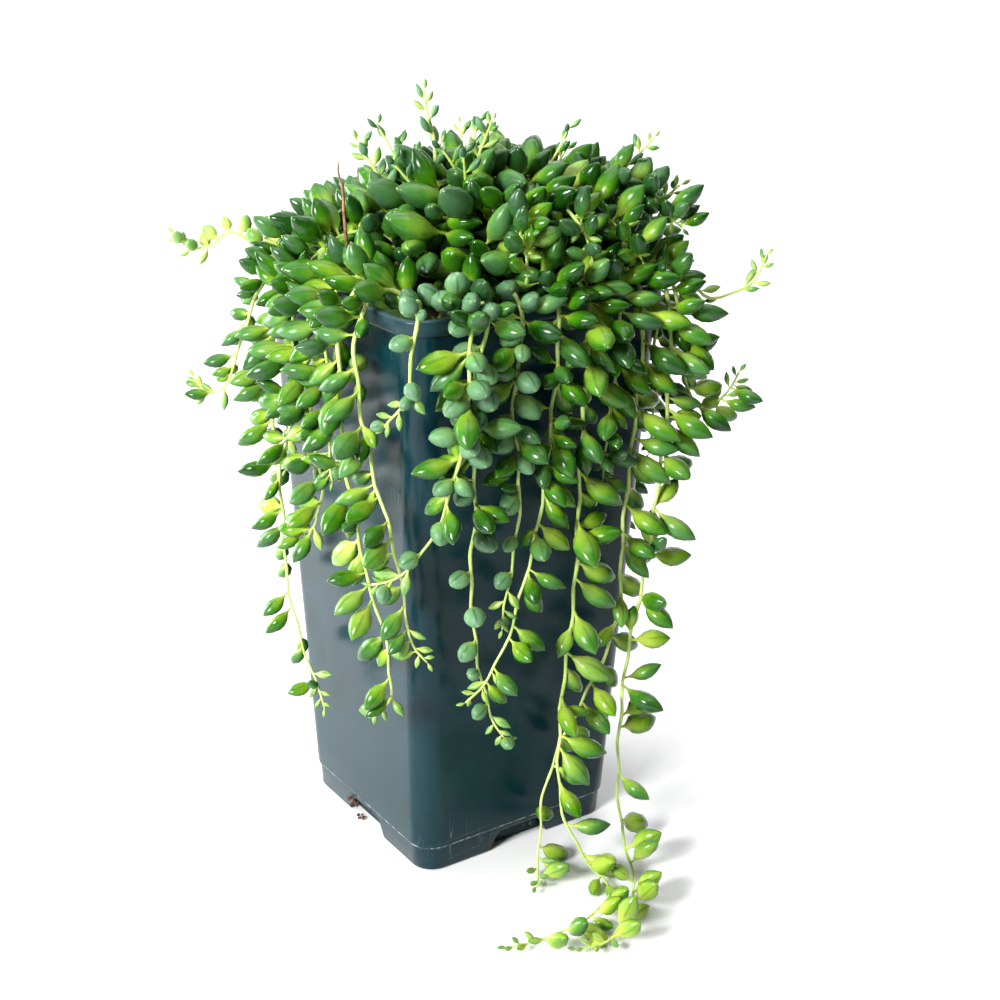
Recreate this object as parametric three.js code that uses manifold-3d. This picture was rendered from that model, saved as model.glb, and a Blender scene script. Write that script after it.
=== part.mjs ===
// A trailing succulent with plump pointed leaves in a tall square nursery pot.
// Millimetres, +Z up, origin on the underside of the pot's floor, at its centre.
// +X is the side where the longest stems hang down to the table.
import * as THREE from 'three';
import { mergeVertices } from 'three/addons/utils/BufferGeometryUtils.js';
import Module from 'manifold-3d';

const wasm = await Module();
wasm.setup();

// ---- Driving dimensions ----------------------------------------------------------------

const POT_HEIGHT = 198;
const POT_TOP = 100; // outside width over the rim
const POT_BASE = 82; // outside width at the foot
const POT_CORNER = 10;
const POT_WALL = 1.8;
const POT_FLOOR = 2.4;
const RIM_BAND = 5; // height of the thicker band round the mouth
const RIM_STEP = 1.2; // how far the band stands out from the wall
const FOOT_HEIGHT = 9;
const FOOT_STEP = 0.8; // the foot is set in by this much
const NOTCH_WIDTH = 25; // the drainage notch at the middle of each side of the foot
const NOTCH_TOP = 17; // its width at the top
const NOTCH_HEIGHT = 7;
const NOTCH_DEPTH = 6;
const DRAIN_RADIUS = 3.5;
const DRAIN_OFFSET = 22;

const SOIL_TOP = 188;
const HOLE_DEPTH = 7;
const TOUCH_GAP = 0.3;

const STEM_RADIUS = 1;
const STEM_SIDES = 3;
const STEM_STEP = 11; // length of one straight facet along a stem
const LEAF_SIDES = 4;
const LEAF_MARGIN = 0.35; // free space kept round each leaf
const LEAF_PITCH = { broad: 16, round: 14, fine: 9 }; // from one leaf of a stem to the next
const CROWDED = 0.65; // the share of that distance that is left above the rim and along the table
const TABLE_STRETCH = 10; // stems lower than this lie along the table
const LEAF_TRIES = 9; // directions tried before a leaf is left out
const SEED = 2026;

const CORE_RADIUS = 37; // the crown's core, where it is widest
const CORE_NECK = 26; // and where it stands on the soil
const CORE_MIDDLE = 209;
const CORE_PLACE = new THREE.Vector3(5, 8, 0); // where its axis stands in the pot
const CORE_DROP = 15; // from its middle down to where its widest part would close
const CORE_RISE = 22; // and up to its top

// ---- Seeded random draws and small vector helpers -----------------------------------------

let randomState = SEED;

/** The next draw of a 32-bit counter-based generator, from 0 up to 1. */
function draw() {
  randomState = (randomState + 0x6d2b79f5) | 0;
  let t = Math.imul(randomState ^ (randomState >>> 15), 1 | randomState);
  t = (t + Math.imul(t ^ (t >>> 7), 61 | t)) ^ t;
  return ((t ^ (t >>> 14)) >>> 0) / 4294967296;
}

const spread = (middle, half) => middle + half * (2 * draw() - 1);
const vector = (p) => new THREE.Vector3(...p);
const UP = new THREE.Vector3(0, 0, 1);
const GOLDEN_ANGLE = Math.PI * (3 - Math.sqrt(5));

/** Outside half width of the pot's wall at height z. */
function wallHalf(z) {
  const share = THREE.MathUtils.clamp(z / POT_HEIGHT, 0, 1);
  return THREE.MathUtils.lerp(POT_BASE, POT_TOP, share) / 2;
}

// ---- Solids --------------------------------------------------------------------------------

/** A manifold solid from a closed three.js geometry. */
function solid(geometry) {
  const bare = geometry.clone();
  bare.deleteAttribute('normal');
  bare.deleteAttribute('uv');
  const merged = mergeVertices(bare, 1e-4);
  return new wasm.Manifold(new wasm.Mesh({
    numProp: 3,
    vertProperties: new Float32Array(merged.attributes.position.array),
    triVerts: new Uint32Array(merged.index.array),
  }));
}

/** The three.js mesh of a manifold solid. */
function meshOf(name, manifold, material) {
  const { vertProperties, triVerts } = manifold.getMesh();
  const geometry = new THREE.BufferGeometry();
  geometry.setAttribute('position', new THREE.BufferAttribute(vertProperties, 3));
  geometry.setIndex(new THREE.BufferAttribute(triVerts, 1));
  geometry.computeVertexNormals();
  const mesh = new THREE.Mesh(geometry, material);
  mesh.name = name;
  return mesh;
}

/** A square with round corners, centred on the origin. */
function roundedSquare(half, corner) {
  const shape = new THREE.Shape();
  const inner = half - corner;
  shape.absarc(inner, inner, corner, 0, Math.PI / 2);
  shape.absarc(-inner, inner, corner, Math.PI / 2, Math.PI);
  shape.absarc(-inner, -inner, corner, Math.PI, 1.5 * Math.PI);
  shape.absarc(inner, -inner, corner, 1.5 * Math.PI, 2 * Math.PI);
  return shape;
}

/** A rounded-square prism from z0 to z1 whose half width runs straight from half0 to half1. */
function taperedPrism(z0, z1, half0, half1, corner) {
  const geometry = new THREE.ExtrudeGeometry(roundedSquare(half1, corner), {
    depth: z1 - z0, bevelEnabled: false, curveSegments: 3,
  });
  const position = geometry.attributes.position;
  for (let i = 0; i < position.count; i += 1) {
    const share = position.getZ(i) / (z1 - z0);
    const scale = THREE.MathUtils.lerp(half0, half1, share) / half1;
    const [x, y, z] = [position.getX(i) * scale, position.getY(i) * scale, position.getZ(i) + z0];
    position.setXYZ(i, x, y, z);
  }
  return solid(geometry);
}

/** A prism on the pot's wall taper, set in from the wall's outside by `inset`. */
function potPrism(z0, z1, inset, corner) {
  return taperedPrism(z0, z1, wallHalf(z0) - inset, wallHalf(z1) - inset, corner);
}

function placed(geometry, x, y, z) {
  return solid(geometry.clone().translate(x, y, z));
}

// ---- Pot and soil --------------------------------------------------------------------------

const SIDES = [[1, 0], [0, 1], [-1, 0], [0, -1]];

/** The foot's four notches, narrower at the top, each grown all round by `growth`. */
function notches(growth) {
  const [half, top, height] = [NOTCH_WIDTH / 2 + growth, NOTCH_TOP / 2 + growth, NOTCH_HEIGHT + growth];
  const outline = new THREE.Shape([[-half, -height], [half, -height], [half, 0], [top, height],
    [-top, height], [-half, 0]].map(([x, y]) => new THREE.Vector2(x, y)));
  const depth = 2 * (NOTCH_DEPTH + growth);
  const prism = new THREE.ExtrudeGeometry(outline, { depth, bevelEnabled: false })
    .translate(0, 0, -depth / 2).rotateX(Math.PI / 2);
  return SIDES.map(([sx, sy]) => placed(
    sx ? prism.clone().rotateZ(Math.PI / 2) : prism, sx * POT_BASE / 2, sy * POT_BASE / 2, 0,
  ));
}

const subtractAll = (body, cuts) => cuts.reduce((rest, cut) => rest.subtract(cut), body);

function pot() {
  const inset = RIM_STEP + POT_WALL;
  const cavity = taperedPrism(
    POT_FLOOR, POT_HEIGHT + 1, wallHalf(POT_FLOOR) - inset, wallHalf(POT_HEIGHT) - inset,
    POT_CORNER - POT_WALL,
  );
  const drain = new THREE.CylinderGeometry(DRAIN_RADIUS, DRAIN_RADIUS, 3 * POT_FLOOR, 8)
    .rotateX(Math.PI / 2);
  const drains = SIDES.map(([sx, sy]) => (
    placed(drain, sx * DRAIN_OFFSET, sy * DRAIN_OFFSET, POT_FLOOR / 2)
  ));
  const body = potPrism(FOOT_HEIGHT, POT_HEIGHT, RIM_STEP, POT_CORNER)
    .add(potPrism(POT_HEIGHT - RIM_BAND, POT_HEIGHT, 0, POT_CORNER))
    .add(potPrism(0, FOOT_HEIGHT, RIM_STEP + FOOT_STEP, POT_CORNER))
    .subtract(subtractAll(cavity, notches(POT_WALL)));
  return subtractAll(body, [...notches(0), ...drains]);
}

/** The filling of the pot, with a plain hole for each stem's foot. */
function soil(feet) {
  const inset = RIM_STEP + POT_WALL + TOUCH_GAP;
  const filling = potPrism(POT_FLOOR + TOUCH_GAP, SOIL_TOP, inset, POT_CORNER - POT_WALL);
  const holeRadius = (STEM_RADIUS + TOUCH_GAP) * Math.SQRT2;
  const hole = new THREE.CylinderGeometry(holeRadius, holeRadius, 2 * HOLE_DEPTH, 4)
    .rotateX(Math.PI / 2);
  const holes = feet.map(([x, y]) => placed(hole, x, y, SOIL_TOP));
  return subtractAll(filling, [...notches(POT_WALL + TOUCH_GAP), ...holes]);
}

// ---- Stems ---------------------------------------------------------------------------------

/** A smooth curve through hand-chosen points, measured along its length. */
class StemCurve extends THREE.Curve {
  constructor(points) {
    super();
    this.line = new THREE.CatmullRomCurve3(points.map(vector), false, 'catmullrom', 0.5);
  }

  getPoint(t, target = new THREE.Vector3()) {
    return this.line.getPoint(t, target);
  }

  /** The number of straight facets that the stem is made of. */
  get facets() {
    return Math.max(3, Math.round(this.getLength() / STEM_STEP));
  }

  /** A point and the direction on the faceted stem's own axis. */
  onFacet(share) {
    const reach = THREE.MathUtils.clamp(share, 0, 0.9999) * this.facets;
    const start = this.getPointAt(Math.floor(reach) / this.facets);
    const end = this.getPointAt((Math.floor(reach) + 1) / this.facets);
    const along = end.clone().sub(start).normalize();
    return { point: start.lerp(end, reach % 1), along };
  }
}

/**
 * Where each hanging stem runs: `foot` is its place in the soil, `route` its points from the
 * first one outside the rim to its tip. `lean` is the way that its leaves turn, `leaf` the length
 * of a leaf, and `kind` the leaf's outline. A stem with no lean has leaves all round.
 */
const HANGING = [
  // The +X side.
  { name: 'stem_east_far', foot: [36, 42], kind: 'broad', leaf: 16, lean: [0.4, 1, -0.2],
    route: [[58, 44, 195], [60, 47, 180], [60, 49, 166], [59, 56, 157], [61, 64, 160], [64, 67, 169]] },
  { name: 'stem_east_tendril', foot: [30, 44], kind: 'fine', leaf: 8,
    route: [[53, 54, 199], [56, 60, 193], [60, 66, 195], [64, 72, 199], [65, 75, 207]] },
  { name: 'stem_east_long', foot: [37, 31], kind: 'broad', leaf: 17, lean: [0.3, 1, -0.3],
    route: [[58, 31, 191], [58, 30, 170], [58, 28, 145], [58, 26, 115], [57, 27, 92], [56, 22, 74],
      [55, 12, 56], [54, 4, 40], [54, -1, 24], [56, -3, 12], [61, -7, 3.4], [68, -13, 2.6]] },
  { name: 'stem_east_trailing', foot: [37, 38], kind: 'broad', leaf: 17, lean: [0.6, 1, 0.1],
    route: [[60, 40, 190], [62, 39, 165], [63, 36, 135], [62, 33, 105], [61, 28, 75], [61, 26, 45],
      [62, 26, 22], [67, 25, 8], [80, 19, 3.2], [93, 9, 2.8], [100, -1, 2.8], [105, -11, 2.8],
      [104, -22, 2.8]] },
  { name: 'stem_east_short', foot: [37, 22], kind: 'broad', leaf: 16, lean: [1, 0.2, 0],
    route: [[58, 21, 194], [59, 20, 178], [59, 18, 160], [58, 17, 140]] },
  { name: 'stem_east_table', foot: [37, 11], kind: 'broad', leaf: 17, lean: [0.8, 0.5, -0.2],
    route: [[59, 9, 192], [60, 7, 170], [60, 6, 142], [60, 6, 118], [60, 5, 97], [60, 2, 70],
      [60, 1, 43], [61, 3, 22], [68, 7, 7], [79, 8, 3], [87, 3, 2.8], [91, -6, 2.8], [93, -17, 2.8],
      [93, -28, 2.8], [91, -40, 2.8]] },
  { name: 'stem_east_middle', foot: [37, -1], kind: 'broad', leaf: 16, lean: [0.7, 0.6, -0.2],
    route: [[58, -2, 192], [58, -4, 165], [58, -6, 145], [58, -9, 126], [59, -15, 108], [60, -21, 93],
      [61, -29, 82], [61, -37, 76]] },
  { name: 'stem_east_fine', foot: [37, -12], kind: 'round', leaf: 10, lean: [0.8, -0.6, -0.1],
    route: [[57, -15, 192], [57, -18, 170], [58, -16, 150], [58, -16, 132], [57, -18, 114], [57, -21, 96]] },
  { name: 'stem_east_round', foot: [37, -23], kind: 'round', leaf: 10, lean: [0.6, -0.8, -0.1],
    route: [[57, -28, 196], [57, -31, 180], [58, -33, 160], [58, -32, 138], [57, -33, 120], [56, -31, 98],
      [55, -27, 78], [55, -22, 62], [55, -17, 53]] },
  { name: 'stem_east_beaded', foot: [37, -32], kind: 'round', leaf: 9.5, lean: [0.5, -1, 0],
    route: [[59, -35, 197], [63, -38, 184], [63, -40, 166], [63, -44, 150], [62, -49, 137], [59, -55, 127],
      [54, -60, 121], [50, -64, 119]] },
  // The corner between +X and -Y, and the -Y side.
  { name: 'stem_corner_short', foot: [39, -40], kind: 'round', leaf: 8, lean: [0.2, -1, 0],
    route: [[58, -53, 200], [59, -55, 190], [58, -57, 178], [54, -61, 170]] },
  { name: 'stem_south_corner', foot: [31, -37], kind: 'broad', leaf: 16, lean: [-0.6, -1, -0.2],
    route: [[32, -58, 192], [33, -58, 174], [39, -58, 156], [45, -58, 144], [51, -57, 131], [54, -55, 112],
      [56, -54, 99], [59, -50, 93]] },
  { name: 'stem_south_curl', foot: [22, -37], kind: 'broad', leaf: 16, lean: [-0.8, -0.8, -0.2],
    route: [[23, -58, 193], [25, -60, 172], [29, -61, 152], [34, -60, 134], [38, -59, 115], [43, -57, 102],
      [46, -56, 88], [44, -55, 75], [36, -56, 66]] },
  { name: 'stem_south_short', foot: [13, -37], kind: 'broad', leaf: 16, lean: [-0.4, -1, 0],
    route: [[14, -58, 194], [15, -59, 180], [17, -60, 160], [19, -60, 142]] },
  { name: 'stem_south_hook', foot: [4, -37], kind: 'broad', leaf: 16, lean: [-0.5, -0.9, 0],
    route: [[4, -58, 193], [3, -59, 175], [7, -60, 155], [10, -59, 138], [3, -58, 122], [-10, -58, 113]] },
  { name: 'stem_south_leafy', foot: [-5, -37], kind: 'broad', leaf: 16, lean: [-0.6, -0.9, 0],
    route: [[-5, -58, 193], [-6, -60, 176], [-8, -60, 156], [-14, -60, 136]] },
  { name: 'stem_south_long', foot: [-14, -37], kind: 'broad', leaf: 15, lean: [-1, -0.6, -0.2],
    route: [[-16, -57, 193], [-24, -58, 176], [-25, -58, 155], [-22, -58, 135], [-24, -56, 112],
      [-25, -55, 92], [-20, -54, 74], [-12, -53, 60], [-3, -53, 50]] },
  { name: 'stem_south_spray', foot: [-24, -37], kind: 'broad', leaf: 12, lean: [-1, -0.7, 0],
    route: [[-31, -57, 194], [-38, -60, 180], [-42, -62, 168], [-44, -66, 158], [-48, -70, 155],
      [-53, -73, 159]] },
  { name: 'stem_corner_reach', foot: [-33, -39], kind: 'round', leaf: 8,
    route: [[-46, -52, 204], [-51, -58, 208], [-56, -63, 203], [-61, -69, 202], [-64, -72, 206]] },
];

/** A dead brown stem that stands up bare beside the crown. */
const DRY_TWIG = {
  name: 'dry_twig', foot: [-0.5, -36],
  route: [[-1, -42, 211], [0, -43, 221], [-2, -43, 229], [-1, -44, 237]],
};

/** Stems of the two sides turned away: `side` turns them round the pot, from the +X side. */
const FAR_SIDES = [
  { side: 'north', turn: Math.PI / 2, along: [-30, -17, -4, 9, 22, 35], drop: [70, 120, 60, 150, 95, 55] },
  { side: 'west', turn: Math.PI, along: [-33, -20, -7, 6, 19, 32], drop: [60, 130, 80, 110, 65, 45] },
];

/** Routes for the far sides: each swings a little to and fro as it hangs. */
function farStems() {
  const list = [];
  for (const { side, turn, along, drop } of FAR_SIDES) {
    along.forEach((start, index) => {
      const route = [];
      const swing = spread(0, 3);
      for (let fall = 5; fall <= drop[index]; fall += 20) {
        const sway = start * 1.08 + swing * Math.sin(fall / 24) + spread(0, 1);
        route.push(turned([58 + spread(0, 1), sway, POT_HEIGHT - fall], turn));
      }
      list.push({
        name: `stem_${side}_${index + 1}`, foot: turned([37, start, 0], turn), route,
        kind: 'broad', leaf: spread(16, 1.5), lean: turned([1, spread(0, 0.8), -0.1], turn),
      });
    });
  }
  return list;
}

function turned([x, y, z], angle) {
  const [c, s] = [Math.cos(angle), Math.sin(angle)];
  return [x * c - y * s, x * s + y * c, z];
}

/** The whole line of a hanging stem: foot in the soil, over the rim, then its route. */
function fullLine({ foot: [x, y], route }) {
  const [first] = route;
  const crest = POT_HEIGHT + 5.5;
  return [
    [x, y, SOIL_TOP - HOLE_DEPTH + TOUCH_GAP],
    [x, y, SOIL_TOP + 4],
    [x + 0.25 * (first[0] - x), y + 0.25 * (first[1] - y), crest - 1],
    [x + 0.7 * (first[0] - x), y + 0.7 * (first[1] - y), crest],
    ...route,
  ];
}

/** A stem of a few flat sides along a curve. */
function stemSolid(curve, radius) {
  const corners = Array.from({ length: STEM_SIDES }, (_, corner) => (
    new THREE.Vector2(radius, 0).rotateAround(new THREE.Vector2(), (2 * Math.PI * corner) / STEM_SIDES)
  ));
  const section = new THREE.Shape(corners);
  return solid(new THREE.ExtrudeGeometry(section, {
    extrudePath: curve, steps: curve.facets, bevelEnabled: false,
  }));
}

// ---- Leaves --------------------------------------------------------------------------------

/** Outlines of a leaf: share of its length, and half width there as a share of its length. */
const LEAF_KINDS = {
  broad: { belly: [0.42, 0.225], shoulder: [0.74, 0.17] },
  round: { belly: [0.36, 0.31], shoulder: [0.72, 0.27] },
  fine: { belly: [0.42, 0.19], shoulder: [0.72, 0.14] },
};
const LEAF_FLATNESS = 0.8;

/** A leaf with its root at the origin, pointing along +Z. */
function leafGeometry(length, kind) {
  const { belly, shoulder } = LEAF_KINDS[kind];
  const profile = [[0, 0], [belly[1], belly[0]], [shoulder[1], shoulder[0]], [0, 1]];
  const points = profile.map(([r, z]) => new THREE.Vector2(r * length, z * length));
  return new THREE.LatheGeometry(points, LEAF_SIDES).rotateX(Math.PI / 2).scale(1, LEAF_FLATNESS, 1);
}

/** Balls that cover a leaf, for keeping it clear of its neighbours. */
function leafBalls(root, direction, length, kind) {
  const { belly, shoulder } = LEAF_KINDS[kind];
  const stations = [[0.2, belly[1] * 0.5], [0.36, belly[1] * 0.9], [0.52, belly[1]],
    [0.68, shoulder[1] * 1.05], [0.82, shoulder[1] * 0.72], [0.95, shoulder[1] * 0.25]];
  return stations.map(([share, radius]) => ({
    centre: root.clone().addScaledVector(direction, share * length), radius: radius * length,
  }));
}

// ---- Keeping nodes clear of each other ------------------------------------------------------

const taken = []; // balls of every stem and leaf so far, each with its node's name

function claim(node, part, balls) {
  balls.forEach((ball) => taken.push({ ...ball, node, part }));
}

/** Whether a ball stays out of the pot, the soil and the table. */
function clearOfPot({ centre: { x, y, z }, radius }) {
  const room = radius + LEAF_MARGIN;
  const reach = Math.max(Math.abs(x), Math.abs(y));
  const mouth = POT_TOP / 2 - RIM_STEP - POT_WALL;
  const outside = reach > wallHalf(z) + room;
  const aboveRim = z > POT_HEIGHT + room;
  const inMouth = z > SOIL_TOP + room && reach < mouth - room - 1;
  return z > radius + 0.1 && (outside || aboveRim || inMouth);
}

const coreHalfHeight = (side) => (side > 0 ? CORE_RISE : CORE_DROP);

/** Whether a ball stays out of the crown's core and its neck. */
function clearOfCore({ centre: { x, y, z }, radius }) {
  const room = radius + LEAF_MARGIN;
  const out = Math.hypot(x - CORE_PLACE.x, y - CORE_PLACE.y);
  const inNeck = z < CORE_MIDDLE && out < CORE_NECK + room;
  const level = (z - CORE_MIDDLE) / (coreHalfHeight(z - CORE_MIDDLE) + room);
  return !inNeck && (out / (CORE_RADIUS + room)) ** 2 + level ** 2 > 1;
}

/** Whether a new leaf of a node is clear of the pot, the core, other leaves and other stems. */
function isFree(node, balls) {
  return balls.every((ball) => clearOfPot(ball) && (node === 'crown' || clearOfCore(ball))
    && taken.every((other) => (
      (other.node === node && other.part === 'stem')
      || other.centre.distanceTo(ball.centre) > other.radius + ball.radius + LEAF_MARGIN
    )));
}

/**
 * A leaf of `node` that grows from `root` about `aim`, tried in a few directions until it is
 * clear. Returns null where there is no room.
 */
function growLeaf(node, root, aim, wander, length, kind) {
  for (let attempt = 0; attempt < LEAF_TRIES; attempt += 1) {
    const loose = wander + 0.12 * attempt;
    const direction = new THREE.Vector3(spread(0, loose), spread(0, loose), spread(0, loose));
    direction.add(aim).normalize();
    const size = length * spread(1, 0.12) * (1 - 0.04 * attempt);
    const balls = leafBalls(root, direction, size, kind);
    if (isFree(node, balls)) {
      claim(node, 'leaf', balls);
      const turn = new THREE.Quaternion().setFromUnitVectors(UP, direction);
      const geometry = leafGeometry(size, kind).rotateZ(spread(0, Math.PI)).applyQuaternion(turn);
      return placed(geometry, root.x, root.y, root.z);
    }
  }
  return null;
}

// ---- Hanging stems -------------------------------------------------------------------------

const BALL_PITCH = 2;
const BARE_FOOT = 10; // length of stem without leaves above its foot

function claimStem(name, curve) {
  const count = Math.ceil(curve.getLength() / BALL_PITCH);
  const balls = Array.from({ length: count + 1 }, (_, index) => (
    { centre: curve.onFacet(index / count).point, radius: STEM_RADIUS }
  ));
  claim(name, 'stem', balls);
}

/**
 * A stem with leaves, smaller towards its tip, all fused; `bare` is the length without leaves at
 * its foot. With a `lean` they stand on alternate sides of that direction, and without one they
 * wind round the stem.
 */
function leafyStem({ name, kind, leaf, lean, curve, bare = BARE_FOOT }) {
  const length = curve.getLength();
  let body = stemSolid(curve, STEM_RADIUS);
  let index = 0;
  for (let s = bare; s < length; index += 1) {
    const share = s / length;
    const { point: root, along } = curve.onFacet(share);
    const crowded = root.z > POT_HEIGHT || root.z < TABLE_STRETCH;
    s += spread(LEAF_PITCH[kind], 2) * (crowded ? CROWDED : 1);
    const aim = lean
      ? leaningAim(vector(lean), along, index)
      : new THREE.Vector3(Math.cos(index * GOLDEN_ANGLE), Math.sin(index * GOLDEN_ANGLE), 0.3);
    aim.addScaledVector(along, 0.35).addScaledVector(UP, root.z > POT_HEIGHT ? 0.6 : 0);
    const size = leaf * THREE.MathUtils.lerp(1.05, 0.65, share ** 3);
    const grown = growLeaf(name, root, aim.normalize(), 0.3, size, kind);
    if (grown) {
      body = body.add(grown);
    }
  }
  return body;
}

/** A direction to one side or the other of the way that a stem's leaves lean. */
function leaningAim(lean, along, index) {
  const favoured = lean.normalize();
  const side = new THREE.Vector3().crossVectors(along, favoured).normalize();
  return favoured.clone().multiplyScalar(0.8).addScaledVector(side, index % 2 ? 0.75 : -0.75);
}

// ---- Crown ---------------------------------------------------------------------------------

const CROWN_LEAVES = 62;
const CROWN_LEAF = 19;

/** Slender young tips that stand up out of the crown. */
const SPRIGS = [
  [[-3, -6, 222], [-4, -8, 240], [-6, -10, 256]],
  [[4, 6, 222], [3, 5, 236], [6, 8, 247]],
  [[18, 24, 213], [28, 41, 229], [34, 51, 242]],
  [[21, 24, 210], [34, 47, 218], [39, 59, 227]],
  [[-10, -15, 216], [-15, -23, 230], [-17, -28, 240]],
  [[-20, 14, 214], [-27, 18, 230], [-31, 20, 240]],
];

/**
 * Leafy shoots that arch out of the crown over the rim: `heading` is the way that each one goes, in
 * degrees from +X towards +Y, `crest` how high it rises, and `reach` how far out it ends.
 */
const SHOOTS = [
  { heading: -12, crest: 222, reach: 55 },
  { heading: 10, crest: 226, reach: 58 },
  { heading: 29, crest: 222, reach: 64 },
  { heading: 46, crest: 229, reach: 72 },
  { heading: 64, crest: 223, reach: 66 },
  { heading: 84, crest: 227, reach: 57 },
  { heading: 112, crest: 221, reach: 58 },
  { heading: 137, crest: 224, reach: 66 },
  { heading: 163, crest: 220, reach: 57 },
  { heading: 192, crest: 217, reach: 57 },
  { heading: 217, crest: 213, reach: 64 },
  { heading: 236, crest: 213, reach: 66 },
  { heading: 262, crest: 214, reach: 56 },
];
const SHOOT_ROOT = 20; // how far from the core's axis a shoot leaves it
const SHOOT_DROOP = 13; // how far its tip hangs below its crest

function shootLine({ heading, crest, reach }) {
  const angle = THREE.MathUtils.degToRad(heading);
  const at = (radius, z) => {
    const start = CORE_PLACE.clone().multiplyScalar(1 - radius / reach);
    return [start.x + radius * Math.cos(angle), start.y + radius * Math.sin(angle), z];
  };
  const middle = (SHOOT_ROOT + reach) / 2;
  return [at(SHOOT_ROOT, crest - 12), at(middle - 4, crest), at(middle + 10, crest - 3),
    at(reach, crest - SHOOT_DROOP)];
}

/** The crown's core: a mound on a narrower neck, with the hanging stems passing under its edge. */
function crownCore() {
  const foot = SOIL_TOP + TOUCH_GAP;
  const lowest = CORE_MIDDLE - CORE_DROP;
  const profile = [new THREE.Vector2(0, foot), new THREE.Vector2(CORE_NECK, foot),
    new THREE.Vector2(CORE_NECK, lowest + 4)];
  for (let angle = -30; angle <= 90; angle += 24) {
    const turn = THREE.MathUtils.degToRad(angle);
    profile.push(new THREE.Vector2(
      angle === 90 ? 0 : CORE_RADIUS * Math.cos(turn), CORE_MIDDLE + coreHalfHeight(angle) * Math.sin(turn),
    ));
  }
  const mound = new THREE.LatheGeometry(profile, 12).rotateX(Math.PI / 2);
  return placed(mound, ...CORE_PLACE);
}

/** A direction on the unit sphere: the step `index` of a spiral down from the top. */
function spiralDown(index, count, share) {
  const height = 1 - share * ((index + 0.5) / count);
  const level = Math.sqrt(1 - height * height);
  return [level * Math.cos(index * GOLDEN_ANGLE), level * Math.sin(index * GOLDEN_ANGLE), height];
}

/** The crown's sprigs and shoots, as stems with leaves all round. */
const crownStems = [
  ...SPRIGS.map((points) => ({ points, kind: 'fine', leaf: 8, bare: BARE_FOOT })),
  ...SHOOTS.map((shoot) => ({ points: shootLine(shoot), kind: 'broad', leaf: 17, bare: 14 })),
].map(({ points, ...rest }) => ({ name: 'crown', curve: new StemCurve(points), ...rest }));

/** The mound over the middle of the pot: a core that leaves, sprigs and shoots stand out of. */
function crown() {
  let body = crownStems.reduce((grown, stem) => grown.add(leafyStem(stem)), crownCore());
  for (let index = 0; index < CROWN_LEAVES; index += 1) {
    const [x, y, height] = spiralDown(index, CROWN_LEAVES, 1.25);
    const root = new THREE.Vector3(x * CORE_RADIUS, y * CORE_RADIUS, height * coreHalfHeight(height))
      .multiplyScalar(0.93).add(CORE_PLACE).add(new THREE.Vector3(0, 0, CORE_MIDDLE));
    const around = draw() * 2 * Math.PI;
    const aim = new THREE.Vector3(Math.cos(around), Math.sin(around), 0).multiplyScalar(0.9)
      .add(new THREE.Vector3(x, y, 0.25 + 0.15 * height));
    const grown = growLeaf('crown', root, aim, 0.4, CROWN_LEAF, 'broad');
    if (grown) {
      body = body.add(grown);
    }
  }
  return body;
}

// ---- The whole plant -----------------------------------------------------------------------

const MATERIALS = {
  pot: new THREE.MeshStandardMaterial({ color: 0x2b4450, roughness: 0.3, metalness: 0 }),
  soil: new THREE.MeshStandardMaterial({ color: 0x4a2a1c, roughness: 0.95, metalness: 0 }),
  leaf: new THREE.MeshStandardMaterial({ color: 0x3f7a2c, roughness: 0.35, metalness: 0 }),
  dry: new THREE.MeshStandardMaterial({ color: 0x8a5a3a, roughness: 0.9, metalness: 0 }),
};

const plant = new THREE.Group();
const leafyStems = [...HANGING, ...farStems()];
const allStems = [...leafyStems, DRY_TWIG];
allStems.forEach((stem) => {
  stem.curve = new StemCurve(fullLine(stem));
});
[...allStems, ...crownStems].forEach(({ name, curve }) => claimStem(name, curve));
plant.add(meshOf('pot', pot(), MATERIALS.pot));
plant.add(meshOf('soil', soil(allStems.map(({ foot }) => foot)), MATERIALS.soil));
plant.add(meshOf(DRY_TWIG.name, stemSolid(DRY_TWIG.curve, STEM_RADIUS), MATERIALS.dry));
leafyStems.forEach((stem) => plant.add(meshOf(stem.name, leafyStem(stem), MATERIALS.leaf)));
plant.add(meshOf('crown', crown(), MATERIALS.leaf));

export default plant;
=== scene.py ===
"""A trailing succulent with plump pointed leaves in a tall square nursery pot.

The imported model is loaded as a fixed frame. Its leafy stems, crown, soil, twig and pot are replaced
by finer pieces on the same lines: the stems' routes, the seeded draws and the rule that places each
leaf are the model's own, so every leaf of the model has its fine leaf here, and more fill the gaps.

Lengths are in millimetres up to the moment when a mesh is made, and in metres from there on.
"""

import bpy
import numpy as np
from mathutils import Matrix, Vector


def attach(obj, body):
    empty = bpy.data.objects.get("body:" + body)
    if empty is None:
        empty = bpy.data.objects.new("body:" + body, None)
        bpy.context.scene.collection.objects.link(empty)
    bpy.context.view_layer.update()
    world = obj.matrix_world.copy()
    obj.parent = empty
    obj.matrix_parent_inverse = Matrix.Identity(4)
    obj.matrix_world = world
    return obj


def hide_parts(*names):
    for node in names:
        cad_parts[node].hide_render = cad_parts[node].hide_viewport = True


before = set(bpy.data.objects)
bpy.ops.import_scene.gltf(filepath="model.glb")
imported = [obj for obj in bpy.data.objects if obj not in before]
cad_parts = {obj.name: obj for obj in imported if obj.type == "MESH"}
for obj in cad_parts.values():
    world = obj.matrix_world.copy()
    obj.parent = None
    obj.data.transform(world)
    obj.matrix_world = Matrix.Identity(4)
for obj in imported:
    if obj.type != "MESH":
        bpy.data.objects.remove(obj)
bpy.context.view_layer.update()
MM = 0.001

# ---- Camera --------------------------------------------------------------------------------------
# The view is along the diagonal of the pot, from above, with the corner between +X and -Y in front.

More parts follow.
